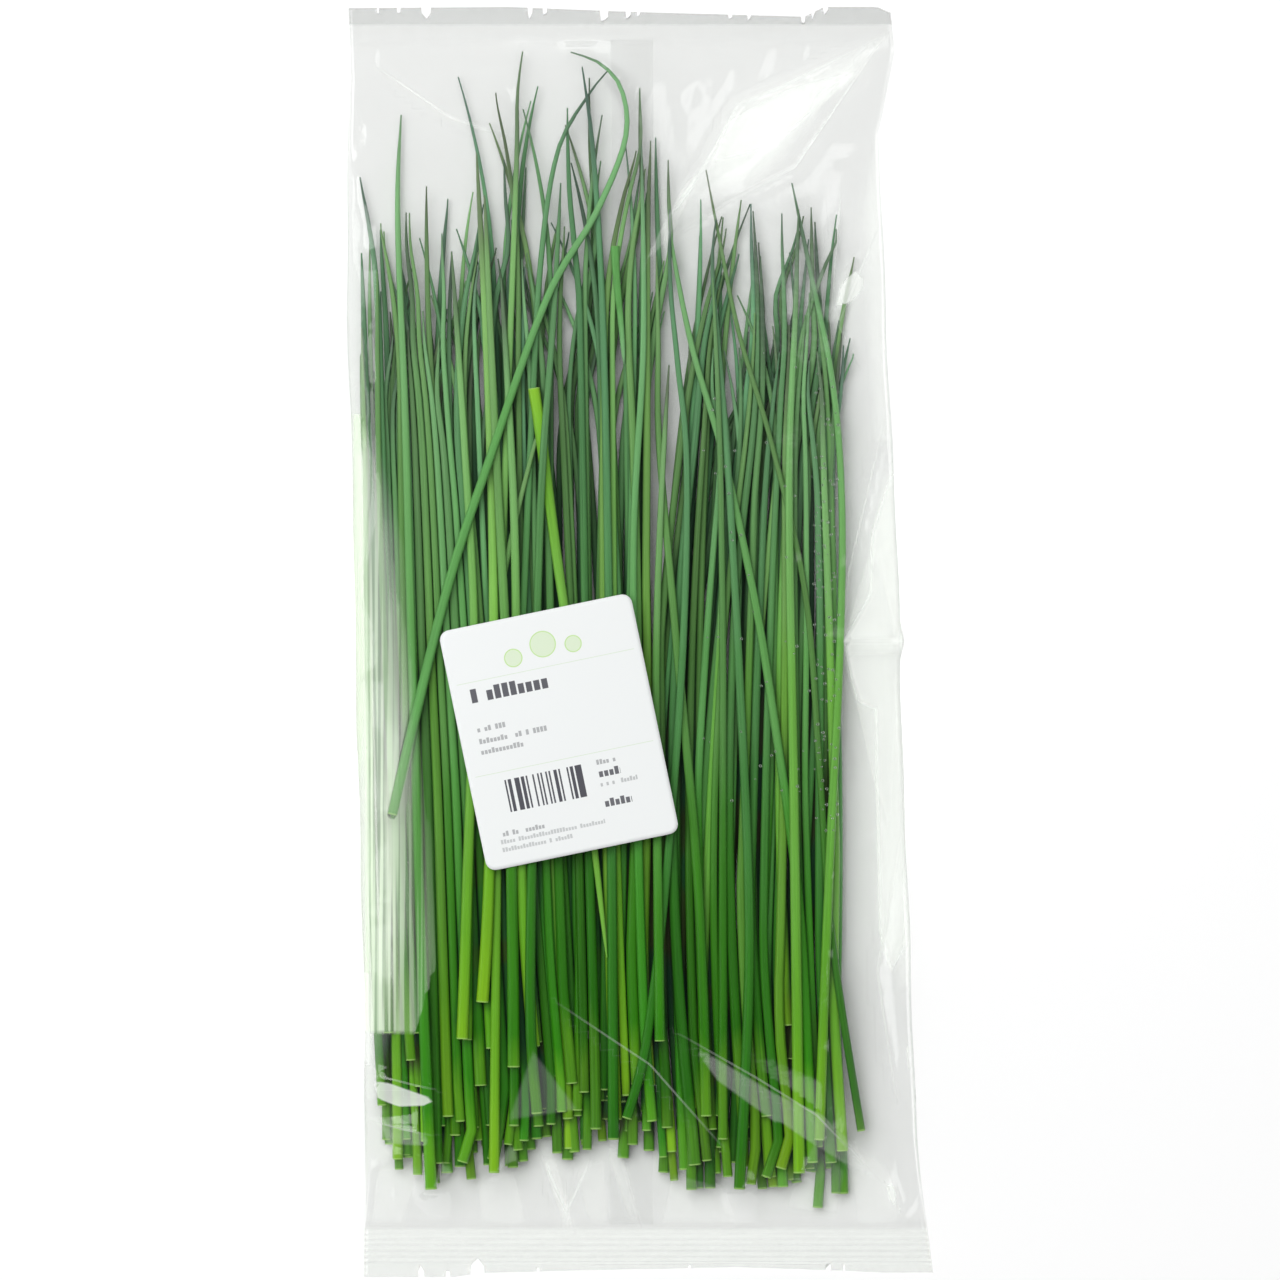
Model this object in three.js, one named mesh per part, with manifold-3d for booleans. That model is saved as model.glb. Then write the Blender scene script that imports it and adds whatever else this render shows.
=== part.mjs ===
// A bunch of cut chives in a clear film sleeve with a paper label, lying flat.
// Millimetres. +Z is up, +Y runs from the cut ends to the leaf tips, and the origin is
// on the surface that the pack lies on, under the middle of its box.
import * as THREE from "three";
import { mergeVertices } from "three/addons/utils/BufferGeometryUtils.js";
import Module from "manifold-3d";

// ---- the leaves ----
const leafSeed = 7;
const leafSides = 5;
const leafRings = 7; // steps along a leaf, closer together towards the tip
const leafFlatness = 0.85; // a leaf's height over its width: they are pressed a little flat
const leafRadii = [1.35, 1.9]; // at the cut end
const leafTaper = 0.34; // share of the radius lost by the tip, where it also turns pointed
const tipRadius = 0.35;
const curlReach = 22; // between tips that bend furthest to the left and to the right
const curlFrom = 0.8; // share of the length at which the bend starts
const stragglers = { share: 0.2, higher: 30 }; // leaves whose cut ends lie higher up, and by how much
const leafRoom = 0.2; // kept between leaves side by side
const hankRoom = 1.4; // kept between two hanks
const layerPitch = 3.3;
const tipPitch = 0.72; // share of the pitch that is left where the leaves are thinner
const thinFrom = [60, 125]; // heights y between which it falls to that
const edgeRoom = 3.2; // between the lowest layer and the sleeve's long edges
const layerInset = 7; // each layer starts this much further in from the sides than the one below
const layerStep = 4; // and this much further up from the cut ends
const layerCounts = [34, 33, 33]; // leaves in each layer, from the lowest up
const levelStep = 15; // spacing of the heights y at which neighbours are kept apart
const levels = Array.from({ length: 27 }, (_, i) => -195 + levelStep * i);
const pressRadius = 0.55; // of the spot where two leaves press together

// The bunch has fallen into three hanks. base, mid and tip are ranges of x, cut and end ranges of y.
const hanks = [
  {
    name: "left",
    share: 0.3,
    base: [-78, -35],
    mid: [-81, -43],
    tip: [-84, -49],
    cut: [-166, -150],
    end: [86, 140],
  },
  {
    name: "middle",
    share: 0.29,
    base: [-33, 2],
    mid: [-42, 4.5],
    tip: [-48, 2],
    cut: [-158, -140],
    end: [100, 172],
  },
  {
    name: "right",
    share: 0.41,
    base: [7, 60],
    mid: [5.5, 61],
    tip: [20, 60],
    cut: [-172, -146],
    end: [84, 138],
  },
];

// Leaves that lie loose on a hank. path runs from the cut end to the tip, r is the radius at the cut end.
const looseLeaves = [
  {
    hank: "right",
    r: 1.25,
    path: [
      [67, -148], [58, -90], [54, -35], [50, 14], [40, 59], [30, 93], [24, 122], [20, 143],
    ],
  },
  {
    hank: "right",
    r: 1.7,
    path: [
      [52, -157], [48, -80], [40, -20], [34, 16], [25, 57], [16, 88], [10, 118], [9, 131],
    ],
  },
  {
    hank: "right",
    r: 1.6,
    path: [
      [54, -150], [57, -70], [60.5, 0], [61, 45], [58, 80], [52, 110], [46, 139],
    ],
  },
  {
    hank: "middle",
    r: 1.5,
    path: [
      [-38, -146], [-37, -40], [-33, 60], [-30, 115], [-25, 148], [-16, 165], [-9.7, 173],
    ],
  },
  {
    hank: "middle",
    r: 1.6,
    path: [
      [-44, -160], [-43, -60], [-41, 40], [-37.5, 140], [-37.2, 165], [-35.6, 179],
    ],
  },
  {
    hank: "middle",
    r: 1.7,
    path: [
      [-8, -150], [-9, -20], [-11, 90], [-14, 146], [-17.5, 174],
    ],
  },
  {
    hank: "left",
    r: 1.4,
    path: [
      [-52, -120], [-50, -40], [-41, 20], [-33, 55], [-27.5, 73],
    ],
  },
  {
    hank: "middle",
    r: 1.9,
    path: [
      [-32, -122], [-35, -85], [-37, -30], [-38, 40], [-42, 110],
    ],
  },
  {
    hank: "left",
    r: 1.9,
    path: [
      [-47.5, -108.5], [-45.5, -73], [-44, 0], [-46, 80], [-49.5, 148],
    ],
  },
  {
    hank: "right",
    r: 1.7,
    path: [
      [20, -143], [17.5, -73], [11, 0], [5.8, 60], [5.5, 90], [5, 117],
    ],
  },
  {
    hank: "right",
    r: 1.6,
    path: [
      [3.6, -144.5], [1, -108], [-1, -40], [-2, 30], [1, 90], [0.5, 150],
    ],
  },
  {
    hank: "right",
    r: 1.5,
    path: [
      [-4, -143.5], [2, -120], [8, -70], [13, 0], [14.1, 54], [11.4, 84], [9.2, 108], [9, 131],
    ],
  },
  {
    hank: "left",
    r: 1.7,
    path: [
      [-67, -118], [-71, -73], [-76, 0], [-78, 60], [-80, 110], [-85, 141],
    ],
  },
  {
    hank: "middle",
    r: 1.8,
    path: [
      [-32, 76.5], [-30, 63], [-25, 25], [-20, -10], [-14, -60], [-10, -95],
    ],
  },
  {
    hank: "left",
    r: 1.7,
    taper: 0.55,
    path: [
      [-74.5, -52], [-59, 13], [-45, 56], [-28, 104], [-13.4, 129.5], [-4.5, 152], [-5.5, 167],
      [-12, 175], [-21, 178.5],
    ],
  },
];

// ---- the film sleeve ----
const filmWall = 0.6; // stouter than real film, so that it is a solid
const gap = 0.3; // kept between pieces that touch on the real pack
// The sleeve's two long edges, as [y, x] from the lower end to the upper one.
const leftEdge = [[-193, -83.5], [-150, -83.5], [-50, -85], [0, -86.5], [100, -88.75], [193, -88.75]];
const rightEdge = [
  [-193, 88.75], [-150, 84.5], [-100, 82], [0, 79], [100, 75], [155, 72], [180, 77.5], [193, 76.5],
];
const edgeHeight = 1.4; // of the folded film along the long edges
const wallInset = 1.2; // of the hollow from the long edges

// The fin seal along the underside, folded flat to the left, and an air hole beside it.
const finRight = 4;
const finWidth = 13;
const finThick = 0.5;
const finShift = 0.6; // of its strip to the right of the raised underside
const leafFloor = finThick + filmWall + 2 * gap; // underside of the lowest leaves
const airHole = { x: 24, y: 150, radius: 1.5 };

// The two crimped end seals, from where the hollow ends to the sleeve's end, with ridges across them.
const packHalf = 193;
const sealInner = { lower: -178, upper: 184 };
const sealHeights = [1.2, 1.7]; // between the ridges, and on them
const ridgePitch = 3;

// Lines of the film's mesh: how far in from the long edges, then at x, and heights y between the seals.
const edgeLines = [0, 3, 9];
const filmReach = 4; // half the least span over which the taut film sees the leaves under it
const finLines = [finRight - finWidth - 1, finRight - finWidth, finRight, finRight + 1];
const crossLines = [-62, -48, -34, -20, ...finLines, 18, 34, 50];
const lengthLines = [
  -174, -168, -155, -135, -110, -85, -60, -35, -10, 15, 40, 65, 90, 115, 140, 160, 172, 180.5,
];
const endLap = 1; // of the hollow's end rows, in from the seals

// ---- the label ----
const labelSize = {
  width: 59,
  length: 73.5,
  thick: 0.6,
  corner: 3,
  columns: 4,
  rows: 5,
  bridge: { x: [-12, 0, 12], y: [-14, 0, 14] }, // it lies on the highest film around each point
};
const labelPlace = { x: -24.4, y: -27.1, turn: THREE.MathUtils.degToRad(11.7) };

const wasm = await Module();
wasm.setup();
const { lerp, clamp } = THREE.MathUtils;

// A repeatable source of random numbers from 0 to 1.
function makeRandom(seed) {
  let state = seed;
  return () => {
    state = (state * 1664525 + 1013904223) % 4294967296;
    return state / 4294967296;
  };
}

// The value at y of a list of [y, value] pairs, joined by straight lines.
function alongList(list, y) {
  const last = list.length - 1;
  if (y <= list[0][0]) return list[0][1];
  if (y >= list[last][0]) return list[last][1];
  const next = list.findIndex(([at]) => at > y);
  const [y0, v0] = list[next - 1];
  const [y1, v1] = list[next];
  return lerp(v0, v1, (y - y0) / (y1 - y0));
}

// A three.js geometry as a manifold-3d solid.
function solidOf(geometry) {
  const plain = geometry.clone();
  plain.deleteAttribute("normal");
  plain.deleteAttribute("uv");
  const merged = mergeVertices(plain, 1e-4);
  return new wasm.Manifold(
    new wasm.Mesh({
      numProp: 3,
      vertProperties: merged.attributes.position.array,
      triVerts: new Uint32Array(merged.index.array),
    }),
  );
}

// A manifold-3d solid as a named three.js mesh.
function meshOf(name, solid, material) {
  const made = solid.getMesh();
  const geometry = new THREE.BufferGeometry()
    .setAttribute("position", new THREE.BufferAttribute(made.vertProperties, 3))
    .setIndex(new THREE.BufferAttribute(made.triVerts, 1));
  geometry.computeVertexNormals();
  const mesh = new THREE.Mesh(geometry, material);
  mesh.name = name;
  return mesh;
}

// Radius at t, from 0 at the cut end to 1 at the tip: nearly even, and pointed only at the end.
function leafRadius(r, t, taper = leafTaper) {
  return Math.max(tipRadius, r * (1 - taper * t) * (1 - t ** 14) ** 0.6);
}

// How much further up than its neighbours a leaf's cut end lies.
function higher(random) {
  return random() < stragglers.share ? stragglers.higher * random() : 0;
}

// One leaf of a hank. across, from 0 to 1, is its place in the hank.
function ruledLeaf(hank, across, index, random) {
  const place = ([low, high], spread) => lerp(low, high, clamp(across + spread * (random() - 0.5), 0, 1));
  return {
    hank: hank.name,
    r: lerp(...leafRadii, random()),
    baseX: place(hank.base, 0.2),
    midX: place(hank.mid, 0.04),
    tipX: place(hank.tip, 0.3),
    startY: lerp(...hank.cut, random()) + index * layerStep + higher(random),
    endY: lerp(...hank.end, random() ** 1.3),
    curl: curlReach * (random() - 0.5),
  };
}

// How far along the leaf the height y is, from 0 at the cut end to 1 at the tip.
function shareAt(leaf, y) {
  return (y - leaf.startY) / (leaf.endY - leaf.startY);
}

// x of the leaf at height y: a parabola through its base, middle and tip, and the curl of the tip.
function ruledX(leaf, y) {
  const t = clamp(shareAt(leaf, y), 0, 1);
  const base = 2 * (t - 0.5) * (t - 1) * leaf.baseX;
  const middle = 4 * t * (1 - t) * leaf.midX;
  const tip = 2 * t * (t - 0.5) * leaf.tipX;
  return base + middle + tip + leaf.curl * Math.max(0, (t - curlFrom) / (1 - curlFrom)) ** 2;
}

// Half the room that the leaf takes at height y, or a little beyond its ends.
function halfWidth(leaf, y) {
  const t = shareAt(leaf, y);
  const beyond = (1.2 * levelStep) / (leaf.endY - leaf.startY);
  return t < -beyond || t > 1 + beyond ? 0 : leafRadius(leaf.r, clamp(t, 0, 1));
}

// Height of a layer's floor at y.
function layerFloor(index, y) {
  const thinned = THREE.MathUtils.smoothstep(y, ...thinFrom);
  return leafFloor + index * layerPitch * lerp(1, tipPitch, thinned);
}

// Pushes the leaves of a layer apart, at height y, where they would be in each other.
function spread(layer, xs, y, inset) {
  const low = alongList(leftEdge, y) + edgeRoom + inset;
  const high = alongList(rightEdge, y) - 2 * edgeRoom - inset;
  const room = (i) => {
    const [a, b] = [layer[i - 1], layer[i]];
    return halfWidth(a, y) + halfWidth(b, y) + (a.hank === b.hank ? leafRoom : hankRoom);
  };
  xs[0] = Math.max(xs[0], low + halfWidth(layer[0], y));
  for (let i = 1; i < xs.length; i += 1) xs[i] = Math.max(xs[i], xs[i - 1] + room(i));
  const last = xs.length - 1;
  xs[last] = Math.min(xs[last], high - halfWidth(layer[last], y));
  for (let i = last; i > 0; i -= 1) xs[i - 1] = Math.min(xs[i - 1], xs[i] - room(i));
  return xs;
}

// The leaves of one layer, side by side, each with the points that its centreline passes.
function makeLayer(count, index, random) {
  const layer = hanks.flatMap((hank) => {
    const n = Math.round(count * hank.share);
    const across = (i) => (i + 0.2 + 0.6 * random()) / n;
    return Array.from({ length: n }, (_, i) => ruledLeaf(hank, across(i), index, random));
  });
  const rows = levels.map((y) => spread(layer, layer.map((leaf) => ruledX(leaf, y)), y, index * layerInset));
  layer.forEach((leaf, i) => {
    const track = new THREE.SplineCurve(levels.map((y, j) => new THREE.Vector2(rows[j][i], y)));
    const at = (y) => track.getPoint((y - levels[0]) / (levels.at(-1) - levels[0])).x;
    leaf.rings = ringShares(leafRings).map((t) => {
      const y = lerp(leaf.startY, leaf.endY, t);
      const r = leafRadius(leaf.r, t);
      return { x: at(y), y, z: layerFloor(index, y) + leafFlatness * r, r };
    });
  });
  return layer;
}

// Shares of a leaf's length at which it has a ring, closer together towards the tip.
function ringShares(count) {
  return Array.from({ length: count + 1 }, (_, k) => 1 - (1 - k / count) ** 1.5);
}

// A map of how high the pile of leaves is at each cell of the sleeve's floor.
class Pile {
  constructor(halfX, halfY) {
    this.halfX = halfX;
    this.halfY = halfY;
    this.nx = 2 * halfX;
    this.ny = 2 * halfY;
    this.heights = new Float64Array(this.nx * this.ny).fill(leafFloor);
  }

  index(x, y) {
    const i = clamp(Math.floor(x + this.halfX), 0, this.nx - 1);
    const j = clamp(Math.floor(y + this.halfY), 0, this.ny - 1);
    return j * this.nx + i;
  }

  // Calls visit for points along the leaf, each with the share of the way from ring k to the next.
  static walk(rings, visit) {
    rings.slice(1).forEach((b, k) => {
      const a = rings[k];
      const steps = Math.ceil(Math.hypot(b.x - a.x, b.y - a.y));
      for (let s = 0; s <= steps; s += 1) {
        const w = s / steps;
        visit(lerp(a.x, b.x, w), lerp(a.y, b.y, w), lerp(a.z, b.z, w), lerp(a.r, b.r, w), k, w);
      }
    });
  }

  // Calls visit with each cell across a leaf at (x, y), and the leaf's half height there.
  across(x, y, r, visit) {
    for (let d = -r; d <= r; d += r / 3) visit(this.index(x + d, y), leafFlatness * Math.sqrt(r * r - d * d));
  }

  lay(rings) {
    Pile.walk(rings, (x, y, z, r) => {
      this.across(x, y, r, (i, half) => {
        this.heights[i] = Math.max(this.heights[i], z + half);
      });
    });
  }

  // Raises the rings until the leaf clears all that lies under it.
  rest(rings) {
    rings.forEach((ring) => {
      ring.z = leafFloor + leafFlatness * ring.r;
    });
    for (let pass = 0; pass < 20; pass += 1) {
      const lifts = rings.map(() => 0);
      Pile.walk(rings, (x, y, z, r, k, w) => {
        this.across(x, y, r, (i, half) => {
          const short = Math.max(0, this.heights[i] + half + leafRoom - z);
          const share = short / (w * w + (1 - w) * (1 - w));
          lifts[k] = Math.max(lifts[k], share * (1 - w));
          lifts[k + 1] = Math.max(lifts[k + 1], share * w);
        });
      });
      rings.forEach((ring, k) => {
        ring.z += 0.8 * lifts[k];
      });
    }
  }
}

// A loose leaf, resting on the pile.
function layLoose({ hank, r, taper, path }, pile) {
  const track = new THREE.SplineCurve(path.map(([x, y]) => new THREE.Vector2(x, y)));
  const rings = ringShares(leafRings + path.length - 5).map((t) => {
    const p = track.getPointAt(t);
    return { x: p.x, y: p.y, r: leafRadius(r, t, taper) };
  });
  pile.rest(rings);
  pile.lay(rings);
  return { hank, r, rings };
}

// A leaf's solid: a cylinder whose rings are moved onto its centreline.
function leafSolid({ rings }) {
  const steps = rings.length - 1;
  const geometry = new THREE.CylinderGeometry(1, 1, 1, leafSides, steps);
  const position = geometry.attributes.position;
  for (let i = 0; i < position.count; i += 1) {
    const k = Math.round((0.5 - position.getY(i)) * steps);
    const ring = rings[k];
    const before = rings[Math.max(0, k - 1)];
    const after = rings[Math.min(steps, k + 1)];
    const slope = new THREE.Vector2(after.x - before.x, after.y - before.y).normalize();
    const side = ring.r * position.getX(i);
    const lift = ring.r * leafFlatness * position.getZ(i);
    position.setXYZ(i, ring.x - side * slope.y, ring.y + side * slope.x, ring.z + lift);
  }
  return solidOf(geometry);
}

// Centre and radius of a leaf where it crosses height y, or null where it doesn't.
function sectionAt({ rings }, y) {
  const k = rings.findIndex((ring, i) => i + 1 < rings.length && (ring.y - y) * (rings[i + 1].y - y) <= 0);
  if (k < 0) return null;
  const [a, b] = [rings[k], rings[k + 1]];
  const w = (y - a.y) / (b.y - a.y);
  return { centre: new THREE.Vector3(lerp(a.x, b.x, w), y, lerp(a.z, b.z, w)), r: lerp(a.r, b.r, w) };
}

// Where two leaves come closest: the room between them, and their centres there.
function nearest(a, b) {
  let best = { room: Infinity };
  for (const y of levels) {
    const [p, q] = [sectionAt(a, y), sectionAt(b, y)];
    if (!p || !q) continue;
    const room = p.centre.distanceTo(q.centre) - p.r - q.r;
    if (room < best.room) best = { room, from: p.centre, to: q.centre };
  }
  return best;
}

// A short spot of leaf between two centres, where the leaves press together.
function pressSpot({ from, to }) {
  const reach = new THREE.Vector3().subVectors(to, from);
  const geometry = new THREE.CylinderGeometry(pressRadius, pressRadius, reach.length(), 3, 1);
  const along = reach.clone().normalize();
  const turn = new THREE.Quaternion().setFromUnitVectors(new THREE.Vector3(0, 1, 0), along);
  geometry.applyQuaternion(turn);
  geometry.translate(...from.clone().addScaledVector(reach, 0.5));
  return solidOf(geometry);
}

// The press spots that join a hank's leaves into one body, each leaf to the nearest that is joined.
function pressSpots(leaves) {
  const waiting = leaves.slice(1).map((leaf) => ({ leaf, link: nearest(leaves[0], leaf) }));
  const spots = [];
  while (waiting.length) {
    waiting.sort((a, b) => a.link.room - b.link.room);
    const { leaf, link } = waiting.shift();
    spots.push(pressSpot(link));
    waiting.forEach((other) => {
      const found = nearest(leaf, other.leaf);
      if (found.room < other.link.room) other.link = found;
    });
  }
  return spots;
}

// The body of a union that holds nearly all of it; crumbs cut off by crossings are dropped.
function mainBody(solid) {
  return solid.decompose().reduce((a, b) => (b.volume() > a.volume() ? b : a));
}

function hankSolid(leaves) {
  return mainBody(wasm.Manifold.union([...leaves.map(leafSolid), ...pressSpots(leaves)]));
}

// ---- the film ----
// x of each line of the film's mesh at height y.
function filmColumns(y) {
  const [left, right] = [alongList(leftEdge, y), alongList(rightEdge, y)];
  return [...edgeLines.map((d) => left + d), ...crossLines, ...edgeLines.map((d) => right - d).reverse()];
}

// The mesh lines across an end seal, from the hollow outwards: y, and the height of the seal there.
function sealRows(inner) {
  const count = Math.round((packHalf - Math.abs(inner)) / ridgePitch);
  return Array.from({ length: count + 1 }, (_, i) => ({
    y: inner + Math.sign(inner) * i * ridgePitch,
    top: sealHeights[(i + 1) % 2],
  }));
}

// Highest leaf in a stretch of the pile that is at least 2 * filmReach wide and long around (x, y).
function highestUnder(pile, x, y, [x0, x1], [y0, y1]) {
  let top = leafFloor;
  for (let at = Math.min(x0, x - filmReach); at <= Math.max(x1, x + filmReach) + 1; at += 1) {
    for (let up = Math.min(y0, y - filmReach); up <= Math.max(y1, y + filmReach) + 1; up += 1) {
      top = Math.max(top, pile.heights[pile.index(at, up)]);
    }
  }
  return top;
}

// The height at which film held by its four neighbours is flat, from their heights and distances.
function levelBetween([left, right, down, up], [dl, dr, dd, du]) {
  const weights = [
    1 / (dl * (dl + dr)), 1 / (dr * (dl + dr)), 1 / (dd * (dd + du)), 1 / (du * (dd + du)),
  ];
  const total = weights.reduce((a, b) => a + b);
  return [left, right, down, up].reduce((sum, height, i) => sum + height * weights[i], 0) / total;
}

// Heights of the film's inside over the hollow, as rows of columns: taut over the leaves, held at its edges.
function drapedFilm(pile) {
  const ys = [sealInner.lower, ...lengthLines, sealInner.upper];
  const columns = ys.map(filmColumns);
  const held = filmWall + gap / 2;
  const inside = (i, j) => i > 0 && i < columns[0].length - 1 && j > 0 && j < ys.length - 1;
  const floor = columns.map((xs, j) =>
    xs.map((x, i) => {
      if (!inside(i, j)) return held;
      return gap + highestUnder(pile, x, ys[j], [xs[i - 1], xs[i + 1]], [ys[j - 1], ys[j + 1]]);
    }),
  );
  const film = floor.map((row) => [...row]);
  for (let pass = 0; pass < 80; pass += 1) {
    film.forEach((row, j) =>
      row.forEach((_, i) => {
        if (!inside(i, j)) return;
        const xs = columns[j];
        const level = levelBetween(
          [row[i - 1], row[i + 1], film[j - 1][i], film[j + 1][i]],
          [xs[i] - xs[i - 1], xs[i + 1] - xs[i], ys[j] - ys[j - 1], ys[j + 1] - ys[j]],
        );
        row[i] = Math.max(floor[j][i], level);
      }),
    );
  }
  return { ys, columns, film };
}

// A closed sheet between a lower and an upper surface. place(i, j, isTop) gives the point in column i, row j.
function sheetSolid(columns, rows, place) {
  const geometry = new THREE.BoxGeometry(columns - 1, rows - 1, 2, columns - 1, rows - 1, 1);
  const position = geometry.attributes.position;
  for (let k = 0; k < position.count; k += 1) {
    const i = Math.round(position.getX(k) + (columns - 1) / 2);
    const j = Math.round(position.getY(k) + (rows - 1) / 2);
    position.setXYZ(k, ...place(i, j, position.getZ(k) > 0));
  }
  return solidOf(geometry);
}

// The underside of the film: flat, and lifted where the fin seal is folded under it.
function underside(x) {
  return x > finRight - finWidth - 0.5 && x < finRight + 0.5 ? finThick + gap : 0;
}

function filmSolid({ ys, columns, film }) {
  const last = columns[0].length - 1;
  const seals = [...sealRows(sealInner.lower).reverse(), ...sealRows(sealInner.upper)];
  const allRows = [...seals.map(({ y }) => y), ...lengthLines].sort((a, b) => a - b);
  const outside = sheetSolid(last + 1, allRows.length, (i, j, isTop) => {
    const y = allRows[j];
    const x = filmColumns(y)[i];
    const seal = seals.find((row) => row.y === y);
    if (!isTop) return [x, y, seal ? 0 : underside(x)];
    if (seal) return [x, y, seal.top];
    return [x, y, i === 0 || i === last ? edgeHeight : film[ys.indexOf(y)][i] + filmWall];
  });
  const hollow = sheetSolid(last + 1, ys.length, (i, j, isTop) => {
    const x = columns[j][i] + (i === 0 ? wallInset : 0) - (i === last ? wallInset : 0);
    const y = clamp(ys[j], sealInner.lower + endLap, sealInner.upper - endLap);
    const edge = i === 0 || i === last || j === 0 || j === ys.length - 1;
    const floor = underside(x) + filmWall;
    return [x, y, isTop ? Math.max(edge ? floor + gap / 2 : film[j][i], floor + gap / 2) : floor];
  });
  const fin = new THREE.BoxGeometry(finWidth, sealInner.upper - sealInner.lower, finThick);
  fin.translate(finRight - finWidth / 2 + finShift, (sealInner.upper + sealInner.lower) / 2, finThick / 2);
  const hole = new THREE.CylinderGeometry(airHole.radius, airHole.radius, 2, 8);
  hole.rotateX(Math.PI / 2);
  hole.translate(airHole.x, airHole.y, 0);
  return outside.subtract(hollow).add(solidOf(fin)).subtract(solidOf(hole));
}

// ---- the label ----
function labelSolid({ ys, columns, film }) {
  const filmAt = (x, y) => {
    const j = clamp(ys.findIndex((at) => at > y), 1, ys.length - 1);
    const i = clamp(columns[j].findIndex((at) => at > x), 1, columns[j].length - 1);
    return Math.max(film[j][i], film[j][i - 1], film[j - 1][i], film[j - 1][i - 1]) + filmWall;
  };
  const { width, length, thick, corner, columns: nx, rows: ny, bridge } = labelSize;
  const heightAt = (x, y) => {
    const around = bridge.x.flatMap((dx) => bridge.y.map((dy) => filmAt(x + dx, y + dy)));
    return Math.max(...around) + gap;
  };
  const [cos, sin] = [Math.cos(labelPlace.turn), Math.sin(labelPlace.turn)];
  const sheet = sheetSolid(nx + 1, ny + 1, (i, j, isTop) => {
    const [u, v] = [width * (i / nx - 0.5), length * (j / ny - 0.5)];
    const [x, y] = [labelPlace.x + u * cos - v * sin, labelPlace.y + u * sin + v * cos];
    return [x, y, heightAt(x, y) + (isTop ? thick : 0)];
  });
  const [w, l] = [width / 2, length / 2];
  const outline = new THREE.Shape()
    .moveTo(-w + corner, -l)
    .lineTo(w - corner, -l)
    .absarc(w - corner, -l + corner, corner, -Math.PI / 2, 0)
    .lineTo(w, l - corner)
    .absarc(w - corner, l - corner, corner, 0, Math.PI / 2)
    .lineTo(-w + corner, l)
    .absarc(-w + corner, l - corner, corner, Math.PI / 2, Math.PI)
    .lineTo(-w, -l + corner)
    .absarc(-w + corner, -l + corner, corner, Math.PI, 1.5 * Math.PI);
  const cutter = new THREE.ExtrudeGeometry(outline, { depth: 60, bevelEnabled: false, curveSegments: 3 });
  cutter.rotateZ(labelPlace.turn);
  cutter.translate(labelPlace.x, labelPlace.y, 0);
  return sheet.intersect(solidOf(cutter));
}

// ---- the pack ----
const random = makeRandom(leafSeed);
const leaves = layerCounts.flatMap((count, index) => makeLayer(count, index, random));
const pile = new Pile(95, 200);
leaves.forEach(({ rings }) => pile.lay(rings));
leaves.push(...looseLeaves.map((leaf) => layLoose(leaf, pile)));
const draped = drapedFilm(pile);

const leafGreen = new THREE.MeshStandardMaterial({ color: 0x4f8a3a, roughness: 0.45, metalness: 0 });
const clearFilm = new THREE.MeshStandardMaterial({
  color: 0xf2f5f2,
  roughness: 0.12,
  metalness: 0,
  transparent: true,
  opacity: 0.3,
});
const whitePaper = new THREE.MeshStandardMaterial({ color: 0xf7f8f9, roughness: 0.6, metalness: 0 });

const pack = new THREE.Group();
hanks.forEach(({ name }) => {
  const own = leaves.filter((leaf) => leaf.hank === name);
  pack.add(meshOf(`chives_${name}`, hankSolid(own), leafGreen));
});
pack.add(meshOf("film_sleeve", filmSolid(draped), clearFilm));
pack.add(meshOf("label", labelSolid(draped), whitePaper));
export default pack;
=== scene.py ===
import math

import bpy
import numpy as np
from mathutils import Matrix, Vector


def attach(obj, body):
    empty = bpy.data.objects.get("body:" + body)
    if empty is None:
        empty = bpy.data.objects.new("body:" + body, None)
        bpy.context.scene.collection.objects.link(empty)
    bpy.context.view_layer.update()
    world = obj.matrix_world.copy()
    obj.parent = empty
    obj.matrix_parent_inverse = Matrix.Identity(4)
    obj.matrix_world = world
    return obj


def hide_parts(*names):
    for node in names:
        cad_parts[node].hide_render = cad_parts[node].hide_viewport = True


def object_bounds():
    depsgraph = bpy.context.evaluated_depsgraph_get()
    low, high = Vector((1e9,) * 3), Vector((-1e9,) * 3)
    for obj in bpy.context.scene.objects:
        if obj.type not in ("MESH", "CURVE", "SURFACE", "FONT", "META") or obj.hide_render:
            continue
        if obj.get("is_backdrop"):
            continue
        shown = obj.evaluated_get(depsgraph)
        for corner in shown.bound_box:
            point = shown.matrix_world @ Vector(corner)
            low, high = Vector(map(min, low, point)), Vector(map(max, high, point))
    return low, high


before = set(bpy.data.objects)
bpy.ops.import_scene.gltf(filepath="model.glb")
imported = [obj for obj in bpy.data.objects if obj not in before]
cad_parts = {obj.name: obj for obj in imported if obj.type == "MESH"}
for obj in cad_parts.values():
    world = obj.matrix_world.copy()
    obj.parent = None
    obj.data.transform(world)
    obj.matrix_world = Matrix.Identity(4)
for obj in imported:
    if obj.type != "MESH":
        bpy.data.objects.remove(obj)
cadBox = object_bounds()

# A packed bunch of cut chives: leaves in three hanks, a clear film sleeve and a paper label.
# Leaves and film are worked out in millimetres, and the meshes are made in metres.
mm = 0.001


class Socket:
    # an output socket; the arithmetic signs add Math nodes
    def __init__(self, maker, socket):
        self.maker = maker
        self.socket = socket

    def math(self, operation, *others):
        return self.maker.math(operation, self, *others)

    def __add__(self, other):
        return self.math("ADD", other)

    def __sub__(self, other):
        return self.math("SUBTRACT", other)

    def __rsub__(self, other):
        return self.maker.math("SUBTRACT", other, self)

    def __mul__(self, other):
        return self.math("MULTIPLY", other)

    def __truediv__(self, other):
        return self.math("DIVIDE", other)

    def __gt__(self, other):
        return self.math("GREATER_THAN", other)

    def __lt__(self, other):
        return self.math("LESS_THAN", other)

    def __abs__(self):
        return self.math("ABSOLUTE")

    __radd__ = __add__
    __rmul__ = __mul__


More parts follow.
